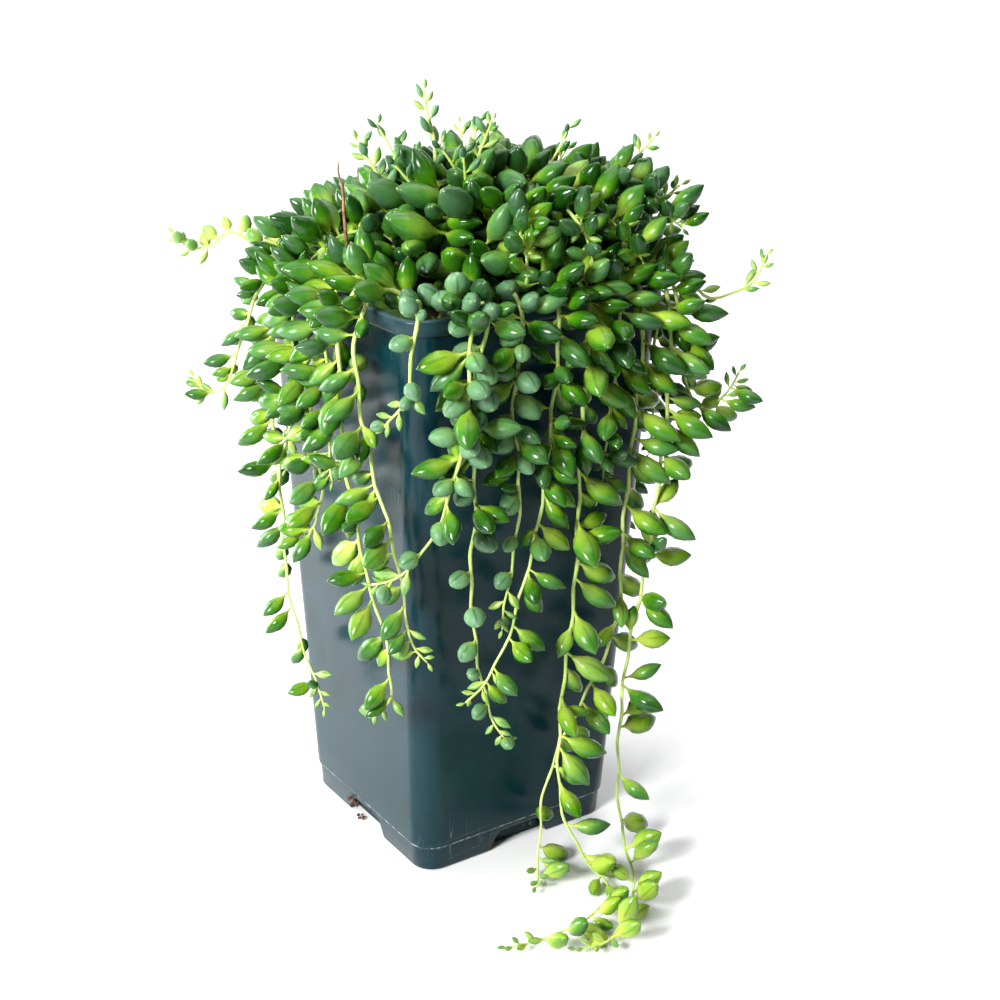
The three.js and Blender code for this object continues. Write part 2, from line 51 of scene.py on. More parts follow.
CAMERA_PLACE = np.array([442.6, -289.5, 321.1])
CAMERA_TURN = 55.28  # degrees round the pot, from the -Y side towards +X
CAMERA_DIP = 21.08  # degrees down from level
CAMERA_ROLL = 0.83  # degrees about its line of sight
FOCAL_IN_FRAMES = 1.6309  # focal length over the width of the frame
SENSOR = 36.0
NEAREST = 0.01  # where the view starts, in metres


def make_camera():
    """A camera whose axes come from its turn round the pot, its dip and its roll."""
    turn, dip, roll = np.radians([CAMERA_TURN, CAMERA_DIP, CAMERA_ROLL])
    back = np.array([np.sin(turn) * np.cos(dip), -np.cos(turn) * np.cos(dip), np.sin(dip)])
    right = np.array([np.cos(turn), np.sin(turn), 0.0])
    up = np.cross(back, right)
    leaned_right = np.cos(roll) * right + np.sin(roll) * up
    leaned_up = np.cos(roll) * up - np.sin(roll) * right
    data = bpy.data.cameras.new("view")
    data.sensor_width = SENSOR
    data.lens = FOCAL_IN_FRAMES * SENSOR
    data.clip_start = NEAREST
    camera = bpy.data.objects.new("view", data)
    turned = Matrix((leaned_right, leaned_up, back)).transposed().to_4x4()
    camera.matrix_world = Matrix.Translation(Vector(CAMERA_PLACE * MM)) @ turned
    bpy.context.scene.collection.objects.link(camera)
    bpy.context.scene.camera = camera


# ---- Sizes of the object, as in the model ----------------------------------------------------------

POT_HEIGHT = 198
POT_TOP = 100  # outside width at the mouth
POT_BASE = 82  # and at the table
POT_CORNER = 10  # outside radius of its upright corners
POT_WALL = 1.8
POT_FLOOR = 2.4
RIM_BAND = 5  # height of the thicker band round the mouth
RIM_STEP = 1.2  # how far the wall lies within the band
FOOT_HEIGHT = 9
FOOT_STEP = 0.8  # how far the foot lies within the wall
NOTCH_WIDTH = 25  # at the table
NOTCH_TOP = 17
NOTCH_HEIGHT = 7
NOTCH_DEPTH = 6

SOIL_TOP = 188
HOLE_DEPTH = 7  # of the hole in the soil that holds a stem's foot
TOUCH_GAP = 0.3  # between pieces that would touch
OVER_RIM = 5.5  # how far above the rim a stem crosses it

STEM_RADIUS = 1.0
STEM_STEP = 11  # length of a facet of the model's stems
LEAF_MARGIN = 0.35  # room kept round a leaf of the model
LEAF_PITCH = {"broad": 16, "round": 14, "fine": 9}
CROWDED = 0.65  # how much of that pitch is left above the rim and on the table
TABLE_STRETCH = 10  # a stem lower than this lies on the table
LEAF_TRIES = 9
BARE_FOOT = 10  # the length of stem that has no leaves
SEED = 2026

# The crown's core is a mound on a narrower neck.
CORE_RADIUS = 37
CORE_NECK = 26  # the neck's radius
CORE_MIDDLE = 209  # the height where it is widest
CORE_PLACE = np.array([5.0, 8.0, 0.0])  # where its axis stands in the pot
CORE_DROP = 15  # from there down to the neck
CORE_RISE = 22  # and up to its top
CROWN_LEAVES = 62
CROWN_LEAF = 19  # their length

CROWN = -2  # the crown's number among the nodes
LEAF_BALL = -1  # marks a leaf's balls, which belong to no stem
GOLDEN_ANGLE = np.pi * (3 - np.sqrt(5))
UP = np.array([0.0, 0.0, 1.0])

# ---- What this script adds to the model --------------------------------------------------------------

ABOVE_ALL = 400  # a height above every leaf
# Passes that fill in leaves: how far along the stem they start, the room they keep, and between which
# heights they go on the stems of each kind of leaf.
FILLING = [
    (8, -0.6, dict(broad=(45, ABOVE_ALL), round=(150, ABOVE_ALL))),
    (4, -1.1, dict(broad=(110, ABOVE_ALL))),
    (12, -1.4, dict(broad=(140, ABOVE_ALL))),
    (6, -0.7, dict(broad=(0, TABLE_STRETCH))),
    (10, -1.8, dict(broad=(180, ABOVE_ALL))),
    (14, -2.2, dict(broad=(196, ABOVE_ALL))),
]
# Passes that fill in the mound: where the leaves' spiral starts, and the room they keep.
CROWN_FILLING = [(0.5, -0.6), (0.25, -1.1), (0.75, -1.4), (0.4, -2.2)]
CROWN_FILLERS = 130  # tried in each pass
FILLERS_LIE = 1.6  # how much more than the model's leaves they lie along the mound
# More dark broad leaves on the upper part of these stems, most of which have round ones.
MIXED_IN = [(5, -0.8), (11, -1.2), (8, -1.5), (2, -2.0)]
MIXED_STEMS = ("stem_east_fine", "stem_east_round", "stem_east_beaded", "stem_east_middle")
MIXED_LEAVES = dict(kind="broad", leaf=16, light=0.24)
MIXED_BAND = (138, ABOVE_ALL)

FINE_RADIUS = 0.68  # of the finer stems at their foot
# The bends of the finer stems: pitch along the stem, start, and how far they go to either side.
KINKS = [(21.0, 0.1, np.array([0.3, 0.4, 0.0])), (34.0, 0.6, np.array([0.35, -0.25, 0.1]))]
KINK_FADE = 10  # they fade in over one part in this many of the stem
# The tiny leaves at a stem's end: how far back from the tip each sits, and its length.
TIP_LEAVES = [(13, 7.5), (9.5, 6.5), (6.5, 5.5), (4, 5.0), (2, 4.2), (0, 3.6)]

CROWN_LIGHT = 0.28
LIME_SHARE = 0.08  # of the crown's leaves are lime green
LIME_LIGHT = 0.3  # added to their light
FULLNESS = 1.08  # how much longer than the model's the crown's leaves are
TABLE_FULLNESS = 1.15  # and those on the table
TABLE_LIGHT = 0.27  # added to the light of the leaves on the table

YOUNG_SHOOTS = 36  # tries: those that would run through a leaf are left out
YOUNG_ROOM = 0.8  # kept between a young shoot and the leaves that it stands among
YOUNG_RADIUS = 0.5
YOUNG_LENGTH = (12, 18)  # the shortest and the longest
YOUNG_LEAVES = (0.6, 0.78, 0.93, 0.99)  # where they sit on a young shoot
YOUNG_TURN = 2.4  # radians round it from each to the next


# ---- Seeded draws ----------------------------------------------------------------------------------

class Draws:
    """The model's 32-bit counter-based generator: the same seed gives the same draws."""

    MASK = 0xFFFFFFFF

    def __init__(self, seed):
        self.state = seed & self.MASK

    def next(self):
        """The next draw, from 0 up to 1."""
        self.state = (self.state + 0x6D2B79F5) & self.MASK
        t = ((self.state ^ (self.state >> 15)) * (1 | self.state)) & self.MASK
        t = ((t + (((t ^ (t >> 7)) * (61 | t)) & self.MASK)) & self.MASK) ^ t
        return ((t ^ (t >> 14)) & self.MASK) / 4294967296

    def spread(self, middle, half):
        """A draw within `half` of `middle`."""
        return middle + half * (2 * self.next() - 1)


# ---- Stems -----------------------------------------------------------------------------------------

# `foot` is a stem's place in the soil and `route` its points from the first one outside the rim to
# its tip. `lean` is the way that its leaves turn, `leaf` the length of a leaf, `kind` its outline, and
# `light` how yellow its green is, from 0 to 1.
HANGING = [
    # The +X side.
    dict(name="stem_east_far", foot=(36, 42), kind="broad", leaf=16, lean=(0.4, 1, -0.2), light=0.3,
         route=[(58, 44, 195), (60, 47, 180), (60, 49, 166), (59, 56, 157), (61, 64, 160), (64, 67, 169)]),
    dict(name="stem_east_tendril", foot=(30, 44), kind="fine", leaf=8, lean=None, light=0.6,
         route=[(53, 54, 199), (56, 60, 193), (60, 66, 195), (64, 72, 199), (65, 75, 207)]),
    dict(name="stem_east_long", foot=(37, 31), kind="broad", leaf=17, lean=(0.3, 1, -0.3), light=0.34,
         route=[(58, 31, 191), (58, 30, 170), (58, 28, 145), (58, 26, 115), (57, 27, 92), (56, 22, 74),
                (55, 12, 56), (54, 4, 40), (54, -1, 24), (56, -3, 12), (61, -7, 3.4), (68, -13, 2.6)]),
    dict(name="stem_east_trailing", foot=(37, 38), kind="broad", leaf=17, lean=(0.6, 1, 0.1), light=0.38,
         route=[(60, 40, 190), (62, 39, 165), (63, 36, 135), (62, 33, 105), (61, 28, 75), (61, 26, 45),
                (62, 26, 22), (67, 25, 8), (80, 19, 3.2), (93, 9, 2.8), (100, -1, 2.8), (105, -11, 2.8),
                (104, -22, 2.8)]),
    dict(name="stem_east_short", foot=(37, 22), kind="broad", leaf=16, lean=(1, 0.2, 0), light=0.26,
         route=[(58, 21, 194), (59, 20, 178), (59, 18, 160), (58, 17, 140)]),
    dict(name="stem_east_table", foot=(37, 11), kind="broad", leaf=17, lean=(0.8, 0.5, -0.2), light=0.34,
         route=[(59, 9, 192), (60, 7, 170), (60, 6, 142), (60, 6, 118), (60, 5, 97), (60, 2, 70),
                (60, 1, 43), (61, 3, 22), (68, 7, 7), (79, 8, 3), (87, 3, 2.8), (91, -6, 2.8),
                (93, -17, 2.8), (93, -28, 2.8), (91, -40, 2.8)]),
    dict(name="stem_east_middle", foot=(37, -1), kind="broad", leaf=16, lean=(0.7, 0.6, -0.2), light=0.28,
         route=[(58, -2, 192), (58, -4, 165), (58, -6, 145), (58, -9, 126), (59, -15, 108), (60, -21, 93),
                (61, -29, 82), (61, -37, 76)]),
    dict(name="stem_east_fine", foot=(37, -12), kind="round", leaf=10, lean=(0.8, -0.6, -0.1), light=0.3,
         route=[(57, -15, 192), (57, -18, 170), (58, -16, 150), (58, -16, 132), (57, -18, 114),
                (57, -21, 96)]),
    dict(name="stem_east_round", foot=(37, -23), kind="round", leaf=10, lean=(0.6, -0.8, -0.1), light=0.2,
         route=[(57, -28, 196), (57, -31, 180), (58, -33, 160), (58, -32, 138), (57, -33, 120),
                (56, -31, 98), (55, -27, 78), (55, -22, 62), (55, -17, 53)]),
    dict(name="stem_east_beaded", foot=(37, -32), kind="round", leaf=9.5, lean=(0.5, -1, 0), light=0.2,
         route=[(59, -35, 197), (63, -38, 184), (63, -40, 166), (63, -44, 150), (62, -49, 137),
                (59, -55, 127), (54, -60, 121), (50, -64, 119)]),
    # The corner between +X and -Y, and the -Y side.
    dict(name="stem_corner_short", foot=(39, -40), kind="round", leaf=8, lean=(0.2, -1, 0), light=0.2,
         route=[(58, -53, 200), (59, -55, 190), (58, -57, 178), (54, -61, 170)]),
    dict(name="stem_south_corner", foot=(31, -37), kind="broad", leaf=16, lean=(-0.6, -1, -0.2), light=0.27,
         route=[(32, -58, 192), (33, -58, 174), (39, -58, 156), (45, -58, 144), (51, -57, 131),
                (54, -55, 112), (56, -54, 99), (59, -50, 93)]),
    dict(name="stem_south_curl", foot=(22, -37), kind="broad", leaf=16, lean=(-0.8, -0.8, -0.2), light=0.28,
         route=[(23, -58, 193), (25, -60, 172), (29, -61, 152), (34, -60, 134), (38, -59, 115),
                (43, -57, 102), (46, -56, 88), (44, -55, 75), (36, -56, 66)]),
    dict(name="stem_south_short", foot=(13, -37), kind="broad", leaf=16, lean=(-0.4, -1, 0), light=0.3,
         route=[(14, -58, 194), (15, -59, 180), (17, -60, 160), (19, -60, 142)]),
    dict(name="stem_south_hook", foot=(4, -37), kind="broad", leaf=16, lean=(-0.5, -0.9, 0), light=0.31,
         route=[(4, -58, 193), (3, -59, 175), (7, -60, 155), (10, -59, 138), (3, -58, 122),
                (-10, -58, 113)]),
    dict(name="stem_south_leafy", foot=(-5, -37), kind="broad", leaf=16, lean=(-0.6, -0.9, 0), light=0.33,
         route=[(-5, -58, 193), (-6, -60, 176), (-8, -60, 156), (-14, -60, 136)]),
    dict(name="stem_south_long", foot=(-14, -37), kind="broad", leaf=15, lean=(-1, -0.6, -0.2), light=0.31,
         route=[(-16, -57, 193), (-24, -58, 176), (-25, -58, 155), (-22, -58, 135), (-24, -56, 112),
                (-25, -55, 92), (-20, -54, 74), (-12, -53, 60), (-3, -53, 50)]),
    dict(name="stem_south_spray", foot=(-24, -37), kind="broad", leaf=12, lean=(-1, -0.7, 0), light=0.34,
         route=[(-31, -57, 194), (-38, -60, 180), (-42, -62, 168), (-44, -66, 158), (-48, -70, 155),
                (-53, -73, 159)]),
    dict(name="stem_corner_reach", foot=(-33, -39), kind="round", leaf=8, lean=None, light=0.75,
         bloom=0.45,
         route=[(-46, -52, 204), (-51, -58, 208), (-56, -63, 203), (-61, -69, 202), (-64, -72, 206)]),
]

DRY_TWIG = dict(name="dry_twig", foot=(-0.5, -36),
                route=[(-1, -42, 211), (0, -43, 221), (-2, -43, 229), (-1, -44, 237)])

# Where the stems of the two far sides hang along the side, and how far down.
FAR_SIDES = [
    dict(side="north", turn=np.pi / 2, along=(-30, -17, -4, 9, 22, 35), drop=(70, 120, 60, 150, 95, 55)),
    dict(side="west", turn=np.pi, along=(-33, -20, -7, 6, 19, 32), drop=(60, 130, 80, 110, 65, 45)),
]
FAR_FOOT = 37  # from the pot's axis to their feet
FAR_OUT = 58  # and to the line they hang along
FAR_STEP = 20  # height between the points of a route

# Young sprigs that stand up out of the crown, and what they share.
SPRIG = dict(kind="fine", leaf=8, lean=None, light=0.35, bloom=0.8)
SPRIGS = [
    [(-3, -6, 222), (-4, -8, 240), (-6, -10, 256)],
    [(4, 6, 222), (3, 5, 236), (6, 8, 247)],
    [(18, 24, 213), (28, 41, 229), (34, 51, 242)],
    [(21, 24, 210), (34, 47, 218), (39, 59, 227)],
    [(-10, -15, 216), (-15, -23, 230), (-17, -28, 240)],
    [(-20, 14, 214), (-27, 18, 230), (-31, 20, 240)],
]

# Leafy shoots that arch out of the crown over the rim: `heading` in degrees from +X towards +Y,
# `crest` the height of their top and `reach` how far out their tip is.
SHOOT = dict(kind="broad", leaf=17, lean=None, bare=14, light=0.28)
SHOOTS = [
    dict(heading=-12, crest=222, reach=55), dict(heading=10, crest=226, reach=58),
    dict(heading=29, crest=222, reach=64), dict(heading=46, crest=229, reach=72),
    dict(heading=64, crest=223, reach=66), dict(heading=84, crest=227, reach=57),
    dict(heading=112, crest=221, reach=58), dict(heading=137, crest=224, reach=66),
    dict(heading=163, crest=220, reach=57), dict(heading=192, crest=217, reach=57),
    dict(heading=217, crest=213, reach=64), dict(heading=236, crest=213, reach=66),
    dict(heading=262, crest=214, reach=56),
]
SHOOT_ROOT = 20  # how far from the core's axis a shoot leaves it
SHOOT_DROOP = 13  # from its crest down to its tip


def shoot_line(heading, crest, reach):
    """Four points of a shoot: out of the core, over its crest, and down to its tip."""
    angle = np.radians(heading)
    outwards = np.array([np.cos(angle), np.sin(angle), 0.0])
    middle = (SHOOT_ROOT + reach) / 2
    steps = [(SHOOT_ROOT, crest - 12), (middle - 4, crest), (middle + 10, crest - 3),
             (reach, crest - SHOOT_DROOP)]
    return [outwards * out + UP * z + CORE_PLACE * (1 - out / reach) for out, z in steps]


def turned_about_pot(point, angle):
    """A point turned about the pot's axis."""
    cosine, sine = np.cos(angle), np.sin(angle)
    x, y, z = point
    return (x * cosine - y * sine, x * sine + y * cosine, z)


def far_stems(draws):
    """Stems for the two far sides: each swings a little to and fro as it hangs."""
    found = []
    for row in FAR_SIDES:
        for index, (start, drop) in enumerate(zip(row["along"], row["drop"])):
            route = []
            swing = draws.spread(0, 3)
            for fall in range(5, drop + 1, FAR_STEP):
                sway = start * 1.08 + swing * np.sin(fall / 24) + draws.spread(0, 1)
                point = (FAR_OUT + draws.spread(0, 1), sway, POT_HEIGHT - fall)
                route.append(turned_about_pot(point, row["turn"]))
            leaf = draws.spread(16, 1.5)
            lean = turned_about_pot((1, draws.spread(0, 0.8), -0.1), row["turn"])
            foot = turned_about_pot((FAR_FOOT, start, 0), row["turn"])[:2]
            found.append(dict(name=f"stem_{row['side']}_{index + 1}", foot=foot, kind="broad", leaf=leaf,
                              lean=lean, light=0.2 + 0.1 * (index % 4), route=route))
    return found


def full_line(stem):
    """The whole line of a hanging stem: foot in the soil, over the rim, then its route."""
    x, y = stem["foot"]
    out_x, out_y = stem["route"][0][:2]
    crest = POT_HEIGHT + OVER_RIM
    return [
        (x, y, SOIL_TOP - HOLE_DEPTH + TOUCH_GAP),
        (x, y, SOIL_TOP + 4),
        (x + 0.25 * (out_x - x), y + 0.25 * (out_y - y), crest - 1),
        (x + 0.7 * (out_x - x), y + 0.7 * (out_y - y), crest),
        *stem["route"],
    ]


class StemCurve:
    """A uniform Catmull-Rom curve through given points, measured along its length."""

    SAMPLES = 200

    def __init__(self, points):
        knots = np.array(points, dtype=float)
        self.knots = np.vstack([2 * knots[0] - knots[1], knots, 2 * knots[-1] - knots[-2]])
        self.spans = len(points) - 1
        self.grid = np.linspace(0, 1, self.SAMPLES + 1)
        steps = np.linalg.norm(np.diff(self.at(self.grid), axis=0), axis=1)
        self.lengths = np.concatenate([[0], np.cumsum(steps)])
        self.length = self.lengths[-1]

    def at(self, t):
        """The cubic of the span that holds t, whose end slopes are half the chords to both sides."""
        place = np.clip(np.asarray(t, dtype=float), 0, 1) * self.spans
        span = np.minimum(place.astype(int), self.spans - 1)
        w = (place - span)[..., None]
        a, b, c, d = (self.knots[span + k] for k in range(4))
        slope_b, slope_c = (c - a) / 2, (d - b) / 2
        return (b + slope_b * w + (-3 * b + 3 * c - 2 * slope_b - slope_c) * w ** 2
                + (2 * b - 2 * c + slope_b + slope_c) * w ** 3)

    def at_share(self, share):
        """The point at a share of the curve's length."""
        return self.at(np.interp(np.asarray(share) * self.length, self.lengths, self.grid))

    def fine_at(self, share):
        """The curve with the slight bends that the stem makes from leaf to leaf: the sum of two
        triangle waves along its length, about square to each other, which fade in at its foot."""
        share = np.asarray(share, dtype=float)
        bends = 0
        for pitch, start, reach in KINKS:
            wave = 2 * np.abs(2 * ((share * self.length / pitch + start) % 1) - 1) - 1
            bends = bends + wave[..., None] * reach
        return self.at_share(share) + np.minimum(share * KINK_FADE, 1)[..., None] * bends

    @property
    def facets(self):
        """How many straight facets the model's stem has."""
        return max(3, int(np.floor(self.length / STEM_STEP + 0.5)))

    def on_facet(self, share):
        """A point and the direction on the axis of the model's faceted stem."""
        reach = min(max(share, 0), 0.9999) * self.facets
        cell = int(reach)
        start, end = self.at_share(cell / self.facets), self.at_share((cell + 1) / self.facets)
        along = (end - start) / np.linalg.norm(end - start)
        return start + (end - start) * (reach - cell), along


# ---- The rule that places the leaves -----------------------------------------------------------------

# A leaf's outline: share of its length, and half width there as a share of its length.
LEAF_KINDS = {
    "broad": dict(belly=(0.42, 0.225), shoulder=(0.74, 0.17)),
    "round": dict(belly=(0.36, 0.31), shoulder=(0.72, 0.27)),
    "fine": dict(belly=(0.42, 0.19), shoulder=(0.72, 0.14)),
}


class Room:
    """The balls that cover every stem and leaf so far, which a new leaf keeps clear of."""

    BLOCK = 20000  # spare rows made whenever the balls no longer fit
    PITCH = 2  # between the balls along a stem

    def __init__(self):
        self.balls = np.zeros((0, 5))  # centre, radius, and the number of the node whose stem it is
        self.count = 0

    def claim(self, centres, radii, stem_of):
        """Adds the balls of a node's stem, or of a leaf where `stem_of` is LEAF_BALL."""
        end = self.count + len(radii)
        if end > len(self.balls):
            self.balls = np.vstack([self.balls[:self.count], np.zeros((end + self.BLOCK, 5))])
        self.balls[self.count:end] = np.column_stack([centres, radii, np.full(len(radii), stem_of)])
        self.count = end

    def claim_stem(self, number, curve):
        """Adds balls along the model's faceted stem."""
        count = int(np.ceil(curve.length / self.PITCH))
        centres = np.array([curve.on_facet(k / count)[0] for k in range(count + 1)])
        self.claim(centres, np.full(count + 1, STEM_RADIUS), number)

    def near(self, root, reach):
        """The balls of leaves and stems within `reach` of a point."""
        balls = self.balls[:self.count]
        return balls[np.abs(balls[:, :3] - root).max(axis=1) < reach]

    @staticmethod
    def is_free(number, near, centres, radii, margin):
        """Whether a new leaf of a node clears the pot, the core, other leaves and other stems."""
        if not clear_of_pot(centres, radii, margin):
            return False
        if number != CROWN and not clear_of_core(centres, radii, margin):
            return False
        others = near[near[:, 4] != number]
        gaps = np.linalg.norm(others[:, None, :3] - centres[None], axis=2)
        return bool((gaps > others[:, 3:4] + radii[None] + margin).all())


def wall_half(z):
    """Outside half width of the pot's wall at height z."""
    share = np.clip(z / POT_HEIGHT, 0, 1)
    return (POT_BASE + (POT_TOP - POT_BASE) * share) / 2


def clear_of_pot(centres, radii, margin):
    """Whether balls stay out of the pot, the soil and the table."""
    room = radii + max(margin, 0.1)
    reach = np.abs(centres[:, :2]).max(axis=1)
    z = centres[:, 2]
    mouth = POT_TOP / 2 - RIM_STEP - POT_WALL
    outside = reach > wall_half(z) + room
    above = z > POT_HEIGHT + room
    in_mouth = (z > SOIL_TOP + room) & (reach < mouth - room - 1)
    return bool(((z > radii + 0.1) & (outside | above | in_mouth)).all())


def core_half_height(side):
    """How far the crown's core reaches above its middle, or below it where `side` is negative."""
    return np.where(np.asarray(side) > 0, CORE_RISE, CORE_DROP)


def clear_of_core(centres, radii, margin):
    """Whether balls stay out of the crown's core and its neck."""
    room = radii + margin
    out = np.hypot(centres[:, 0] - CORE_PLACE[0], centres[:, 1] - CORE_PLACE[1])
    above = centres[:, 2] - CORE_MIDDLE
    in_neck = (above < 0) & (out < CORE_NECK + room)
    in_mound = (out / (CORE_RADIUS + room)) ** 2 + (above / (core_half_height(above) + room)) ** 2 <= 1
    return not bool((in_neck | in_mound).any())


def leaf_balls(root, direction, length, kind):
    """Six balls along a leaf that cover it."""
    belly, shoulder = LEAF_KINDS[kind]["belly"], LEAF_KINDS[kind]["shoulder"]
    stations = np.array([0.2, 0.36, 0.52, 0.68, 0.82, 0.95])
    radii = np.array([belly[1] * 0.5, belly[1] * 0.9, belly[1], shoulder[1] * 1.05,
                      shoulder[1] * 0.72, shoulder[1] * 0.25])
    return root + direction * (stations * length)[:, None], radii * length


def grow_leaf(room, draws, number, root, aim, wander, length, kind, margin=LEAF_MARGIN):
    """A leaf from `root` about `aim`, tried in a few directions until it is clear, or None."""
    near = room.near(root, length * 1.6 + 2)
    for attempt in range(LEAF_TRIES):
        loose = wander + 0.12 * attempt
        direction = np.array([draws.spread(0, loose) for _ in range(3)]) + aim
        direction /= np.linalg.norm(direction)
        size = length * draws.spread(1, 0.12) * (1 - 0.04 * attempt)
        centres, radii = leaf_balls(root, direction, size, kind)
        if room.is_free(number, near, centres, radii, margin):
            room.claim(centres, radii, LEAF_BALL)
            return dict(root=root, direction=direction, size=size, kind=kind, roll=draws.spread(0, np.pi))
    return None


def leaning_aim(lean, along, index):
    """A direction to one side or the other of the way that a stem's leaves lean."""
    favoured = np.array(lean, dtype=float)
    favoured /= np.linalg.norm(favoured)
    side = np.cross(along, favoured)
    side /= np.linalg.norm(side)
    return 0.8 * favoured + side * (0.75 if index % 2 else -0.75)


def leaves_along(room, draws, number, stem, ahead=0, margin=LEAF_MARGIN,
                 band=(0, ABOVE_ALL)):
    """The leaves of one stem between two heights, smaller towards its tip, the first one `ahead` of
    the bare foot."""
    curve, kind = stem["curve"], stem["kind"]
    found = []
    s, index = stem.get("bare", BARE_FOOT) + ahead, 0
    while s < curve.length:
        share = s / curve.length
        root, along = curve.on_facet(share)
        crowded = root[2] > POT_HEIGHT or root[2] < TABLE_STRETCH
        s += draws.spread(LEAF_PITCH[kind], 2) * (CROWDED if crowded else 1)
        if stem["lean"] is not None:
            aim = leaning_aim(stem["lean"], along, index)
        else:
            aim = np.array([np.cos(index * GOLDEN_ANGLE), np.sin(index * GOLDEN_ANGLE), 0.3])
        aim = aim + 0.35 * along + UP * (0.6 if root[2] > POT_HEIGHT else 0)
        aim /= np.linalg.norm(aim)
        size = stem["leaf"] * (1.05 - 0.4 * share ** 3)
        inside = band[0] <= root[2] <= band[1]
        leaf = inside and grow_leaf(room, draws, number, root, aim, 0.3, size, kind, margin)
        if leaf:
            on_table = root[2] < TABLE_STRETCH
            leaf["root"] = curve.fine_at(share)
            leaf["light"] = stem["light"] + (TABLE_LIGHT if on_table else 0)
            leaf["size"] *= TABLE_FULLNESS if on_table else 1
            leaf["bloom"] = stem.get("bloom", BLOOM[kind])
            found.append(leaf)
        index += 1
    return found


def crown_leaves(room, draws, count, margin=LEAF_MARGIN, offset=0.5, lying=1.0):
    """Leaves on the crown's core: a spiral of equal steps down from its top. The greater `lying` is,
    the more the leaves lie along the mound."""
    found = []
    for index in range(count):
        height = 1 - 1.25 * ((index + offset) / count)
        level = np.sqrt(1 - height * height)
        x, y = level * np.cos(index * GOLDEN_ANGLE), level * np.sin(index * GOLDEN_ANGLE)
        root = 0.93 * np.array([x * CORE_RADIUS, y * CORE_RADIUS, height * core_half_height(height)])
        root += CORE_PLACE + CORE_MIDDLE * UP
        around = draws.next() * 2 * np.pi
        aim = 0.9 * lying * np.array([np.cos(around), np.sin(around), 0]) + [x, y, 0.25 + 0.15 * height]
        leaf = grow_leaf(room, draws, CROWN, root, aim, 0.4, CROWN_LEAF, "broad", margin)
        if leaf:
            found.append(leaf)
    return found


# ---- Meshes from arrays ------------------------------------------------------------------------------

def grid_quads(number):
    """Quads between the neighbours of a grid of point numbers."""
    corners = [number[:-1, :-1], number[:-1, 1:], number[1:, 1:], number[1:, :-1]]
    return np.stack(corners, axis=-1).reshape(-1, 4)


def capped(rings, ends):
    """A closed surface: rings of points, an array of rows, columns and x, y, z, with quads between the
    rings, and a fan of triangles from the first ring and the last to the two `ends`."""
    rows, columns = rings.shape[:2]
    size = rows * columns
    number = np.arange(size).reshape(rows, columns)
    closed = np.hstack([number, number[:, :1]])
    first = np.stack([closed[0, 1:], closed[0, :-1], np.full(columns, size)], axis=-1)
    last = np.stack([closed[-1, :-1], closed[-1, 1:], np.full(columns, size + 1)], axis=-1)
    return np.vstack([rings.reshape(-1, 3), ends]), [grid_quads(closed), first, last]


def joined(shapes):
    """The points and faces of many shapes as one: each one's faces count on from the points before."""
    starts = np.cumsum([0] + [len(points) for points, _ in shapes])
    faces = [block + start for (_, blocks), start in zip(shapes, starts) for block in blocks]
    return np.vstack([points for points, _ in shapes]), faces


def make_piece(name, points, faces, materials, slots=None, traits=None, place=None, smooth=True):
    """A mesh object from points in millimetres and a list of arrays of faces, as point numbers.

    `slots` is each face's material number. `traits` and `place` are vectors on the points, kept as
    attributes that the leaf material reads.
    """
    mesh = bpy.data.meshes.new(name)
    mesh.from_pydata((points * MM).tolist(), [], [face for block in faces for face in block.tolist()])
    if smooth:
        mesh.polygons.foreach_set("use_smooth", np.ones(len(mesh.polygons), dtype=bool))
    if slots is not None:
        mesh.polygons.foreach_set("material_index", np.asarray(slots, dtype=np.int32))
    for label, values in (("traits", traits), ("place", place)):
        if values is not None:
            layer = mesh.attributes.new(label, "FLOAT_VECTOR", "POINT")
            layer.data.foreach_set("vector", np.asarray(values, dtype=np.float32).ravel())
    for material in materials:
        mesh.materials.append(material)
    mesh.update()
    piece = bpy.data.objects.new(name, mesh)
    bpy.context.scene.collection.objects.link(piece)
    return piece


# A fine leaf is a grid of rings between two poles. Each ring is given by its share of the length and
# its radius as a share of the widest one: a thin stalk, a plump belly and a drawn-out tip.
LEAF_RINGS = {
    "broad": [(0.0, 0.13), (0.15, 0.13), (0.25, 0.36), (0.38, 0.78), (0.54, 1.0), (0.7, 0.93),
              (0.84, 0.64), (0.94, 0.28)],
    "round": [(0.0, 0.12), (0.15, 0.12), (0.22, 0.48), (0.36, 0.88), (0.54, 1.0), (0.72, 0.92),
              (0.87, 0.64), (0.96, 0.33)],
    "fine": [(0.0, 0.2), (0.14, 0.18), (0.25, 0.42), (0.4, 0.84), (0.57, 1.0), (0.73, 0.86),
             (0.86, 0.52), (0.94, 0.24)],
}
# Half the greatest width as a share of the length, and the thickness above and below the middle as
# shares of that half width.
LEAF_BODY = {"broad": (0.232, 0.74, 0.94), "round": (0.365, 0.8, 0.92), "fine": (0.2, 0.7, 0.85)}
LEAF_COLUMNS = 8
LEAF_BEND = 0.13  # how far the tip turns up, as a share of the length
LEAF_RISE = 0.72  # how much of their rise the leaves above the rim keep
RISE_FROM = POT_HEIGHT + 2
LEAF_DROOP = 0.25  # how far the hanging leaves turn down
DROOP_BAND = (2 * TABLE_STRETCH, POT_HEIGHT - 5)
ASKEW = np.array([0.011, 0.007, 0])  # leans the sky a little, so an upright leaf has an upper side


